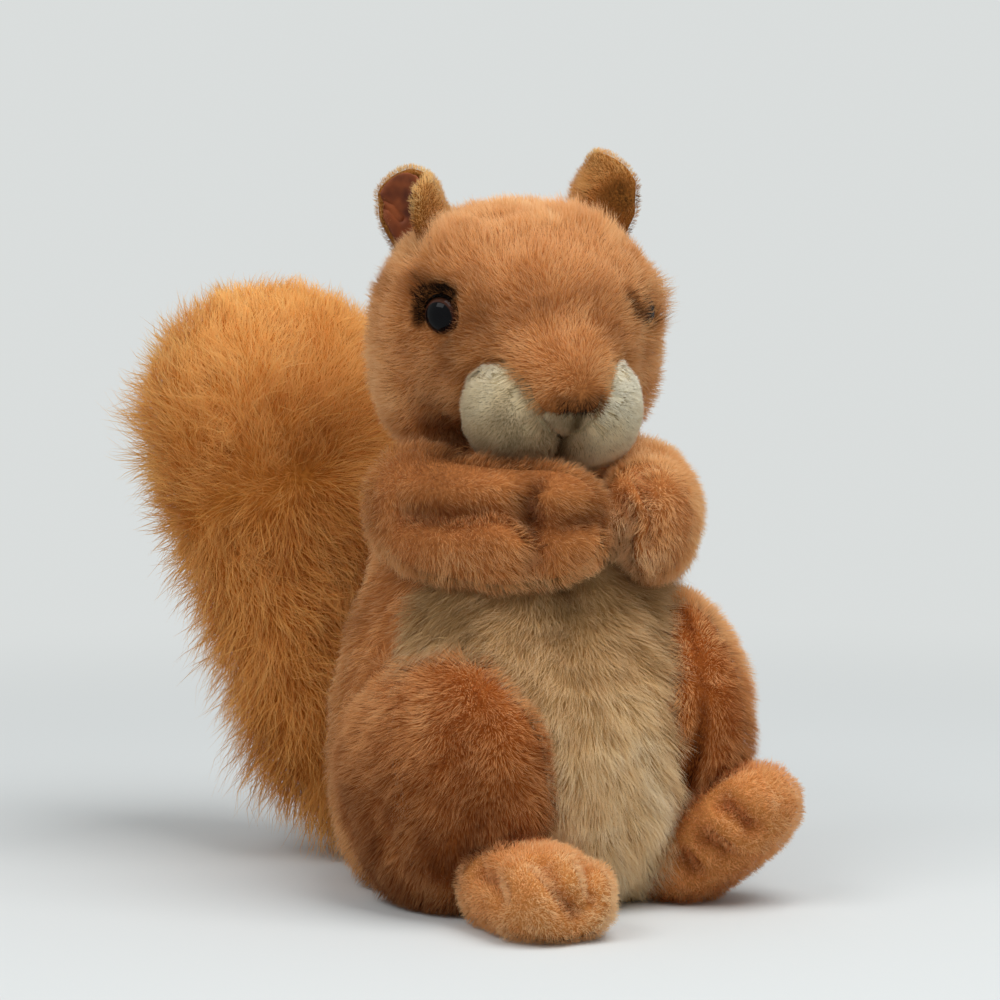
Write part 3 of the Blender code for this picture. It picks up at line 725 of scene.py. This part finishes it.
cream_backing = backing_material("cream_backing", (160, 142, 108), (184, 168, 134), 1600.0)
cream_tones = [
    (0.0, (126, 104, 70)), (0.4, (216, 192, 150)), (0.7, (248, 233, 198)), (1.0, (255, 250, 232)),
]
cream_pile = pile_material("cream_pile", cream_tones, (252, 246, 230), 0.92, 0.30)


def muzzle_comb(places, outward):
    way = places - nose
    way[:, 2] -= 0.02
    return way


def muzzle_length(places, outward):
    return MUZZLE_PILE * (1.0 + 0.10 * waves(places, 0.006, 21))


def muzzle_tone(places, outward):
    tones = 0.32 + 0.05 * waves(places, 0.012, 22) + 0.03 * waves(places, 0.004, 23)
    # Painted light: paler high up and on the right pad, where the light falls. Painted shade: darker in the
    # crease where the two pads meet.
    tones += 0.50 * smooth_step(-0.016, 0.006, places[:, 2] - nose[2])
    tones += 0.30 * smooth_step(0.0, 0.010, places[:, 0] - nose[0])
    tones -= 0.22 * (1.0 - smooth_step(0.0002, 0.0024, np.abs(places[:, 0] - nose[0])))
    return tones - 0.20 * near_to(places, nose_spot, 0.004, 0.0085)


pile(
    "muzzle_pile_middle", head_cloth, MUZZLE_MIDDLE_HAIRS, head_near, muzzle_length, math.radians(62.0),
    muzzle_comb, muzzle_tone, cream_pile, density=under_nose, gather=0.08, sway=0.2, even=0.85,
)
for word in ("left", "right"):
    pad = stuffed_cloth("muzzle_cloth_" + word, "muzzle_" + word, 0.0014, 4, cream_backing)
    pile(
        "muzzle_pile_" + word, pad, MUZZLE_HAIRS, others("muzzle_" + word), muzzle_length,
        math.radians(62.0), muzzle_comb, muzzle_tone, cream_pile,
        width=0.00016, crowded=0.0007, gather=0.08, sway=0.2, even=0.85,
    )

# Eyes: domed buttons of clear-coated plastic with a black pupil in a dark brown ring. The ribbed
# shank goes through the cloth, and a washer of unpainted plastic grips it inside the head. The
# pupil looks a little down and forward.
EYE_RADIUS = 0.0059
EYE_DOME = 0.0050
EYE_FLANGE = 0.0012
EYE_SHANK_RADIUS = 0.0017
PUPIL_SHARE = 0.74  # of the eye's radius
PUPIL_SHIFT = 0.00075
RIB_STEP = 0.0012

material, tree, shader, _ = new_material("eye_gloss")
ring = tree.nodes.new("ShaderNodeAttribute")
ring.attribute_name = "from_axis"
ramp = tree.nodes.new("ShaderNodeValToRGB")
stops = ramp.color_ramp.elements
stops[0].position, stops[0].color = PUPIL_SHARE - 0.03, (0.003, 0.003, 0.004, 1.0)
stops[1].position, stops[1].color = PUPIL_SHARE + 0.03, (*colour(74, 42, 30), 1.0)
stop = stops.new(0.90)
stop.color = (*colour(52, 27, 15), 1.0)
stop = stops.new(0.97)
stop.color = (*colour(12, 8, 7), 1.0)
places = tree.nodes.new("ShaderNodeTexCoord")
cloudy = tree.nodes.new("ShaderNodeTexNoise")
cloudy.inputs["Scale"].default_value = 1400.0
streaks = tree.nodes.new("ShaderNodeMix")
streaks.data_type = "RGBA"
streaks.blend_type = "MULTIPLY"
streaks.inputs["Factor"].default_value = 0.5
tree.links.new(ring.outputs["Fac"], ramp.inputs["Fac"])
tree.links.new(places.outputs["Object"], cloudy.inputs["Vector"])
tree.links.new(ramp.outputs["Color"], streaks.inputs["A"])
tree.links.new(cloudy.outputs["Fac"], streaks.inputs["B"])
tree.links.new(streaks.outputs["Result"], shader.inputs["Base Color"])
shader.inputs["Roughness"].default_value = 0.03
shader.inputs["Specular IOR Level"].default_value = 0.09
eye_gloss = material

for word, (top, way, length) in eye_axes.items():
    bm = bmesh.new()
    profile = []
    for step in range(15):
        angle = math.radians(90.0) * step / 14.0
        profile.append((EYE_RADIUS * math.sin(angle), EYE_DOME * (math.cos(angle) - 1.0)))
    back = -EYE_DOME - EYE_FLANGE
    profile += [(EYE_RADIUS, back + 0.0003), (EYE_RADIUS - 0.0003, back), (EYE_SHANK_RADIUS, back)]
    height = back - 0.001
    while height > -length + 0.0014:
        profile += [(EYE_SHANK_RADIUS, height), (EYE_SHANK_RADIUS * 0.88, height - RIB_STEP / 2.0)]
        height -= RIB_STEP
    profile.append((EYE_SHANK_RADIUS * 0.8, -length + 0.0004))
    profile += [(EYE_SHANK_RADIUS * 0.5, -length), (0.0, -length)]
    corners = [bm.verts.new((radius, 0.0, rise)) for radius, rise in profile]
    edges = [bm.edges.new(pair) for pair in zip(corners, corners[1:])]
    bmesh.ops.spin(
        bm, geom=corners + edges, cent=(0, 0, 0), axis=(0, 0, 1), angle=2.0 * math.pi, steps=56,
        use_merge=True,
    )
    bmesh.ops.remove_doubles(bm, verts=bm.verts, dist=1e-6)
    bmesh.ops.recalc_face_normals(bm, faces=bm.faces)
    stand = Vector(way).to_track_quat("Z", "Y").to_matrix()
    gaze = stand.transposed() @ (screen_right * 0.8 - up * 0.6)
    gaze = Vector((gaze.x, gaze.y)).normalized() * PUPIL_SHIFT
    radii = [(Vector((vertex.co.x, vertex.co.y)) - gaze).length / EYE_RADIUS for vertex in bm.verts]
    place = Matrix.Translation(Vector(top)) @ stand.to_4x4()
    bmesh.ops.transform(bm, matrix=place, verts=bm.verts)
    mesh = bpy.data.meshes.new("eye_button_" + word)
    bm.to_mesh(mesh)
    bm.free()
    from_axis = mesh.attributes.new("from_axis", "FLOAT", "POINT")
    from_axis.data.foreach_set("value", radii)
    mesh.materials.append(eye_gloss)
    mesh.shade_smooth()
    mesh.set_sharp_from_angle(angle=math.radians(50.0))
    eye = bpy.data.objects.new("eye_button_" + word, mesh)
    bpy.context.scene.collection.objects.link(eye)
    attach(eye, "root")
    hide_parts("eye_" + word)

material, tree, shader, _ = new_material("washer_plastic_moulded")
places = tree.nodes.new("ShaderNodeTexCoord")
flow = tree.nodes.new("ShaderNodeTexNoise")
flow.inputs["Scale"].default_value = 600.0
ramp = tree.nodes.new("ShaderNodeValToRGB")
ramp.color_ramp.elements[0].color = (0.70, 0.69, 0.65, 1.0)
ramp.color_ramp.elements[1].color = (0.80, 0.79, 0.75, 1.0)
tree.links.new(places.outputs["Object"], flow.inputs["Vector"])
tree.links.new(flow.outputs["Fac"], ramp.inputs["Fac"])
tree.links.new(ramp.outputs["Color"], shader.inputs["Base Color"])
shader.inputs["Roughness"].default_value = 0.45
for word in ("left", "right"):
    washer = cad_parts["eye_washer_" + word]
    washer.data.materials.clear()
    washer.data.materials.append(material)

# Ears: cupped flaps of plush with a short curly pile outside, sprayed dark at the base, and a
# smooth satin lining inside that shows a fold where it was turned in.
EAR_PILE = 0.0021
EAR_HAIRS = 7500
EAR_SPOT = (619, 197)  # in the picture
EAR_FOOT = (584, 196)
EAR_SHRINK = 0.04  # of the ear's height
EAR_SLOPE = {"left": 0.0, "right": 0.0050}
EAR_FOLD = [(383, 204), (392, 208), (401, 218)]

ear_backing = backing_material("ear_backing", (120, 72, 28), (150, 96, 42), 1400.0)
ear_tones = [
    (0.0, (64, 42, 18)), (0.25, (150, 98, 42)), (0.5, (216, 150, 78)), (0.75, (238, 190, 118)),
    (1.0, (248, 222, 164)),
]
ear_pile = pile_material("ear_pile", ear_tones, (250, 224, 170), 0.80, 0.36)
material, tree, shader, _ = new_material("ear_satin_weave")
places = tree.nodes.new("ShaderNodeTexCoord")
weave = tree.nodes.new("ShaderNodeTexWave")
weave.inputs["Scale"].default_value = 2600.0
weave.inputs["Distortion"].default_value = 0.6
blotches = tree.nodes.new("ShaderNodeTexNoise")
blotches.inputs["Scale"].default_value = 160.0
ramp = tree.nodes.new("ShaderNodeValToRGB")
ramp.color_ramp.elements[0].position = 0.35
ramp.color_ramp.elements[0].color = (*colour(88, 38, 16), 1.0)
ramp.color_ramp.elements[1].position = 0.70
ramp.color_ramp.elements[1].color = (*colour(150, 78, 38), 1.0)
thread = tree.nodes.new("ShaderNodeBump")
thread.inputs["Strength"].default_value = 0.25
thread.inputs["Distance"].default_value = 0.0001
tree.links.new(places.outputs["Object"], weave.inputs["Vector"])
tree.links.new(places.outputs["Object"], blotches.inputs["Vector"])
tree.links.new(blotches.outputs["Fac"], ramp.inputs["Fac"])
tree.links.new(weave.outputs["Fac"], thread.inputs["Height"])
tree.links.new(ramp.outputs["Color"], shader.inputs["Base Color"])
tree.links.new(thread.outputs["Normal"], shader.inputs["Normal"])
shader.inputs["Roughness"].default_value = 0.6
shader.inputs["Specular IOR Level"].default_value = 0.3
ear_satin = material

def worn_down(skin, slope):
    """Lets a soft ear sink a little, and its top edge slope down towards the middle of the head."""
    points = read_points(skin.data)
    height = (points[:, 2] - ear_low[2]) / (ear_high[2] - ear_low[2])
    across = points @ np.array(screen_right)
    inward = (across - across.min()) / (across.max() - across.min())
    sink = EAR_SHRINK * (ear_high[2] - ear_low[2]) + slope * smooth_step(0.35, 1.0, inward)
    points[:, 2] -= sink * smooth_step(0.0, 1.0, height)
    write_points(skin.data, points)


for word in ("left", "right"):
    ear = stuffed_cloth("ear_cloth_" + word, "ear_" + word, 0.0009, 5, ear_backing)
    ear_low, ear_high = (np.array(corner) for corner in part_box("ear_" + word))
    worn_down(ear, EAR_SLOPE[word])
    dark_spot = seen_at(ear, *EAR_SPOT) if word == "left" else np.array((0.0, 0.0, 1.0))
    foot_spot = seen_at(ear, *EAR_FOOT) if word == "left" else None

    def ear_comb(places, outward):
        way = np.tile((0.0, 0.1, 1.0), (len(places), 1))
        if foot_spot is not None:
            way -= np.array(screen_right) * near_to(places, foot_spot, 0.003, 0.010)[:, None]
        return way

    def ear_length(places, outward):
        lengths = EAR_PILE * (1.0 + 0.15 * waves(places, 0.004, 31))
        if foot_spot is not None:
            lengths *= 1.0 + 1.4 * near_to(places, foot_spot, 0.003, 0.010)
        return lengths

    def ear_tone(places, outward):
        height = (places[:, 2] - ear_low[2]) / (ear_high[2] - ear_low[2])
        tones = (0.34 if word == "left" else 0.46) + 0.42 * height + 0.08 * waves(places, 0.006, 32)
        tones -= 0.25 * (1.0 - smooth_step(0.25, 0.5, height))
        tones -= 0.45 * near_to(places, dark_spot, 0.002, 0.0085)
        return tones

    pile(
        "ear_pile_" + word, ear, EAR_HAIRS, others("ear_" + word), ear_length, math.radians(52.0),
        ear_comb, ear_tone, ear_pile, curl=0.22, stray=0.55, crowded=0.0007,
    )
    lining = stuffed_cloth(
        "ear_lining_cloth_" + word, "ear_lining_" + word, 0.00045, 8, ear_satin
    )
    worn_down(lining, EAR_SLOPE[word])
    if word == "right":
        sewn_line(lining, EAR_FOLD, 0.0011, 0.0013)

# Body: one stuffed form from the flat seat to the neck, in the same brown pile as the head,
# combed down and back.
BODY_PILE = 0.0056
BODY_HAIRS = 38000

body_cloth = stuffed_cloth("body_cloth", "body", 0.0032, 5, brown_backing, swell=0.0012)


def body_comb(places, outward):
    return np.stack((places[:, 0] * 6.0, 0.35 + 0.0 * places[:, 1], -1.0 + 0.0 * places[:, 2]), axis=1)


def body_length(places, outward):
    return BODY_PILE * (1.0 + 0.14 * waves(places, 0.009, 41))


def body_tone(places, outward):
    return 0.55 + 0.09 * waves(places, 0.016, 42) + 0.05 * waves(places, 0.005, 43)


pile(
    "body_pile", body_cloth, BODY_HAIRS, others("body"), body_length, math.radians(46.0), body_comb,
    body_tone, brown_pile, width=0.00019,
)

# Belly: a pale front panel of longer pile, let into the body under the arms, combed down and out.
# It is darker high up, with painted shade under the arms, and paler low down.
BELLY_PILE = 0.0095
BELLY_HAIRS = 36000

belly_backing = backing_material("belly_backing", (186, 150, 100), (210, 176, 124))
belly_tones = [
    (0.0, (120, 92, 54)), (0.35, (190, 152, 98)), (0.6, (230, 194, 138)), (0.8, (246, 220, 172)),
    (1.0, (253, 240, 212)),
]
belly_pile = pile_material("belly_pile", belly_tones, (250, 240, 218), 0.80, 0.35)
belly_cloth = stuffed_cloth("belly_cloth", "belly", 0.0030, 5, belly_backing, swell=0.001)
belly_low, belly_high = (np.array(corner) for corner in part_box("belly"))


def belly_comb(places, outward):
    height = (places[:, 2] - belly_low[2]) / (belly_high[2] - belly_low[2])
    return np.stack((places[:, 0] * 26.0, -0.1 + 0.0 * height, -1.0 + 0.25 * height), axis=1)


def belly_length(places, outward):
    edge = np.abs(places[:, 0]) / max(belly_high[0], -belly_low[0])
    return BELLY_PILE * (1.0 + 0.12 * waves(places, 0.010, 51) + 0.60 * smooth_step(0.55, 1.0, edge))


def belly_tone(places, outward):
    height = (places[:, 2] - belly_low[2]) / (belly_high[2] - belly_low[2])
    tones = 0.33 + 0.07 * waves(places, 0.016, 52) + 0.03 * waves(places, 0.004, 53)
    # Painted shade: the pile is darker high up under the arms, and paler low down.
    return tones + 0.48 * (1.0 - smooth_step(0.35, 0.90, height))


pile(
    "belly_pile", belly_cloth, BELLY_HAIRS, others("belly"), belly_length, math.radians(38.0), belly_comb,
    belly_tone, belly_pile, joints=3, width=0.00014, together=8, gather=0.10, curl=0.07,
    sway=0.30,
)

# Arms: each comes forward from its shoulder and folds across the chest. Stitches through the
# stuffing draw in a fold along the near arm and part the fingers of the paws.
ARM_PILE = 0.0054
ARM_HAIRS = 20000
ARM_FOLD = [(398, 512), (440, 517), (480, 512), (520, 515), (560, 521), (598, 519)]
PAW_FOLD = [(530, 480), (523, 500), (529, 520), (539, 545), (532, 572)]
FAR_PAW_FOLD = [(612, 500), (622, 520), (616, 545), (620, 566)]
FAR_ARM_FOLD = [(640, 470), (650, 500), (648, 540)]
ARM_SHADOW_SPOTS = [(425, 462), (470, 466), (515, 472), (565, 520)]
PAW_GAP = (618, 532)
FAR_SHOULDER = (698, 500)

arm_seams = {"left": [FAR_PAW_FOLD, FAR_ARM_FOLD], "right": [ARM_FOLD, PAW_FOLD]}
for word, lines in arm_seams.items():
    arm = stuffed_cloth(
        "arm_cloth_" + word, "arm_" + word, 0.0017, 5, brown_backing, swell=0.001
    )
    seams = [sewn_line(arm, line, 0.0068, 0.0044) for line in lines]
    shadow_spots = [seen_at(arm, *spot) for spot in ARM_SHADOW_SPOTS] if word == "right" else []
    gap_spot = seen_at(arm, *PAW_GAP)
    trim_spot = seen_at(arm, *FAR_SHOULDER) if word == "left" else None
    arm_low, arm_high = (np.array(corner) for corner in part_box("arm_" + word))
    shoulder = np.array((arm_high[0] if word == "left" else arm_low[0], arm_high[1], arm_high[2]))

    def arm_comb(places, outward):
        way = unit(places - shoulder)
        way[:, 2] -= 0.55
        return way

    def arm_length(places, outward):
        lengths = ARM_PILE * (1.0 + 0.15 * waves(places, 0.008, 61))
        if gap_spot is not None:
            lengths *= 1.0 + 0.5 * near_to(places, gap_spot, 0.004, 0.012)
        if trim_spot is not None:
            lengths *= 1.0 - 0.4 * near_to(places, trim_spot, 0.008, 0.024)
        return lengths

    def arm_tone(places, outward):
        height = (places[:, 2] - arm_low[2]) / (arm_high[2] - arm_low[2])
        tones = 0.52 + 0.08 * waves(places, 0.012, 62) + 0.06 * waves(places, 0.005, 63)
        # Painted light: the far arm is made paler all over, and the pile by the gap between the paws paler
        # still.
        tones += 0.20 if word == "left" else 0.0
        if gap_spot is not None:
            tones += 0.16 * near_to(places, gap_spot, 0.004, 0.012)
        # Painted shade: darker in the shadow under the chin and beside the paw.
        for spot in shadow_spots:
            tones -= 0.15 * near_to(places, spot, 0.004, 0.017)
        return tones + 0.14 * (1.0 - smooth_step(0.25, 0.5, height))

    pile(
        "arm_pile_" + word, arm, ARM_HAIRS, others("arm_" + word), arm_length, math.radians(50.0), arm_comb,
        arm_tone, brown_pile, seams=seams, curl=0.10, stray=0.3,
    )

# Thighs: large stuffed haunches sewn to the sides of the body, in red-brown pile with pale tips,
# which stands up and is combed down and back from the knee. A fold runs down the far one.
THIGH_PILE = 0.0055
THIGH_HAIRS = 28000
FAR_LEG_FOLD = [(686, 612), (700, 660), (703, 720), (690, 780)]

rust_backing = backing_material("rust_backing", (140, 74, 28), (168, 96, 42))
rust_tones = [
    (0.0, (80, 40, 14)), (0.3, (146, 78, 30)), (0.55, (196, 124, 62)), (0.8, (230, 164, 98)),
    (1.0, (244, 200, 144)),
]
rust_pile = pile_material("rust_pile", rust_tones, (251, 210, 156), 0.66, 0.52)
for word in ("left", "right"):
    thigh = stuffed_cloth(
        "thigh_cloth_" + word, "thigh_" + word, 0.0028, 5, rust_backing, swell=0.0012
    )
    seams = [sewn_line(thigh, FAR_LEG_FOLD, 0.002, 0.004)] if word == "left" else []
    thigh_low, thigh_high = (np.array(corner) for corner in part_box("thigh_" + word))
    knee = np.array(((thigh_low[0] + thigh_high[0]) / 2.0, thigh_low[1] + 0.018, thigh_high[2]))

    def thigh_comb(places, outward):
        way = unit(places - knee)
        way[:, 2] -= 0.5
        return way

    def thigh_length(places, outward):
        return THIGH_PILE * (1.0 + 0.14 * waves(places, 0.009, 71))

    def thigh_tone(places, outward):
        height = (places[:, 2] - thigh_low[2]) / (thigh_high[2] - thigh_low[2])
        # Painted light: the pile is paler towards the top of each thigh, where the light falls from above,
        # and the far thigh is made paler overall.
        tones = 0.35 + 0.46 * smooth_step(0.30, 0.90, height) + (0.16 if word == "left" else 0.0)
        return tones + 0.09 * waves(places, 0.014, 72) + 0.06 * waves(places, 0.005, 73)

    pile(
        "thigh_pile_" + word, thigh, THIGH_HAIRS, others("thigh_" + word), thigh_length, math.radians(60.0),
        thigh_comb, thigh_tone, rust_pile, seams=seams, width=0.00016, gather=0.16,
    )

# Feet: flat stuffed paws in a short curly pile, sewn on under the thighs. Stitches drawn through
# the stuffing part the toes, and the pile along them is darker: partly sprayed dark, partly painted
# shade in the slits.
FOOT_PILE = 0.0033
FOOT_HAIRS = 15000
NEAR_TOE_FOLDS = [
    [(540, 862), (551, 874), (558, 888), (570, 904), (580, 918)], [(584, 858), (592, 878), (594, 900)],
    [(478, 872), (492, 882), (500, 896)],
]
FAR_TOE_FOLDS = [
    [(720, 800), (738, 815), (754, 830)], [(704, 840), (717, 849), (730, 858)], [(680, 858), (692, 872)],
]

foot_backing = backing_material("foot_backing", (170, 110, 56), (196, 134, 76), 1300.0)
foot_tones = [
    (0.0, (50, 38, 14)), (0.25, (160, 106, 50)), (0.5, (232, 162, 96)), (0.75, (248, 194, 132)),
    (1.0, (254, 224, 176)),
]
foot_pile = pile_material("foot_pile", foot_tones, (254, 228, 186), 0.85, 0.40)
toe_folds = {"left": FAR_TOE_FOLDS, "right": NEAR_TOE_FOLDS}
for word, lines in toe_folds.items():
    foot = stuffed_cloth("foot_cloth_" + word, "foot_" + word, 0.0014, 5, foot_backing)
    seams = [sewn_line(foot, line, 0.0068, 0.0029) for line in lines]
    foot_low, foot_high = (np.array(corner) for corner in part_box("foot_" + word))
    heel = np.array(((foot_low[0] + foot_high[0]) / 2.0, foot_high[1], (foot_low[2] + foot_high[2]) / 2.0))

    def foot_comb(places, outward):
        return unit(places - heel)

    def foot_length(places, outward):
        return FOOT_PILE * (1.0 + 0.18 * waves(places, 0.005, 81))

    def foot_tone(places, outward):
        toes = (foot_high[1] - places[:, 1]) / (foot_high[1] - foot_low[1])
        # Painted shade: the far foot's pile is darker than the near foot's.
        tones = (0.72 if word == "right" else 0.54) + 0.24 * smooth_step(0.45, 1.0, toes)
        return tones + 0.07 * waves(places, 0.008, 82) + 0.06 * waves(places, 0.003, 83)

    pile(
        "foot_pile_" + word, foot, FOOT_HAIRS, others("foot_" + word), foot_length, math.radians(58.0),
        foot_comb, foot_tone, foot_pile, seams=seams, curl=0.20, stray=0.5,
    )

# Tail: a long stuffed core sewn to the low back, under a shaggy golden pile four times as long as
# the body's. It stands out round the upper half, hangs down below, and has a short under layer.
TAIL_PILE = 0.0138
TAIL_UNDER_PILE = 0.0085
TAIL_HAIRS = 46000
TAIL_UNDER_HAIRS = 22000
TAIL_CORE_INSET = 0.0022
TAIL_TANGLE = (285, 470)  # in the picture

tail_backing = backing_material("tail_backing", (176, 108, 40), (204, 134, 58), 700.0)
tail_tones = [
    (0.0, (112, 64, 22)), (0.25, (180, 116, 48)), (0.5, (232, 166, 84)), (0.75, (248, 196, 116)),
    (1.0, (254, 222, 158)),
]
tail_pile = pile_material("tail_pile", tail_tones, (255, 226, 160), 0.78, 0.38)
tail_cloth = stuffed_cloth("tail_cloth", "tail", 0.0034, 5, tail_backing, swell=0.001)
tail_points = read_points(tail_cloth.data)
write_points(tail_cloth.data, tail_points - read_outward(tail_cloth.data) * TAIL_CORE_INSET)
tail_low, tail_high = (np.array(corner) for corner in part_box("tail"))
tail_heart = np.array((
    tail_low[0] * 0.52 + tail_high[0] * 0.48,
    tail_high[1] - 0.024,
    tail_low[2] + (tail_high[2] - tail_low[2]) * 0.64,
))
tangle_spot = seen_at(tail_cloth, *TAIL_TANGLE)


def tail_comb(places, outward):
    """Out from the heart of the upper half, so up and out above it and down below it."""
    way = unit((places - tail_heart) * (1.0, 1.0, 0.8))
    way[:, 2] += 0.25 * smooth_step(0.0, 0.03, places[:, 2] - tail_heart[2])
    return way


def tail_length(places, outward):
    height = (places[:, 2] - tail_low[2]) / (tail_high[2] - tail_low[2])
    lengths = TAIL_PILE * (1.22 - 0.22 * smooth_step(0.30, 0.55, height))
    lengths *= 1.0 - 0.34 * smooth_step(0.78, 0.98, height)
    return lengths * (1.0 + 0.16 * waves(places, 0.014, 91))


def tail_under_length(places, outward):
    return TAIL_UNDER_PILE * (1.0 + 0.2 * waves(places, 0.010, 92))


def tail_tone(places, outward):
    height = (places[:, 2] - tail_low[2]) / (tail_high[2] - tail_low[2])
    # Painted light and shade: the pile is paler high up, where the light falls, and darker low down.
    tones = 0.58 + 0.14 * smooth_step(0.45, 0.95, height) - 0.14 * (1.0 - smooth_step(0.15, 0.40, height))
    tones -= 0.12 * near_to(places, tangle_spot, 0.008, 0.036)
    return tones + 0.05 * waves(places, 0.018, 93) + 0.08 * waves(places, 0.005, 94)


tail_near = others("tail")
pile(
    "tail_under_pile", tail_cloth, TAIL_UNDER_HAIRS, tail_near, tail_under_length, math.radians(46.0),
    tail_comb, tail_tone, tail_pile, width=0.00022, curl=0.12,
)
pile(
    "tail_pile", tail_cloth, TAIL_HAIRS, tail_near, tail_length, math.radians(40.0), tail_comb, tail_tone,
    tail_pile, joints=3, width=0.00019, together=12, gather=0.26, curl=0.13, stray=0.50,
    sway=0.6, ragged=0.42, droop=0.16,
)
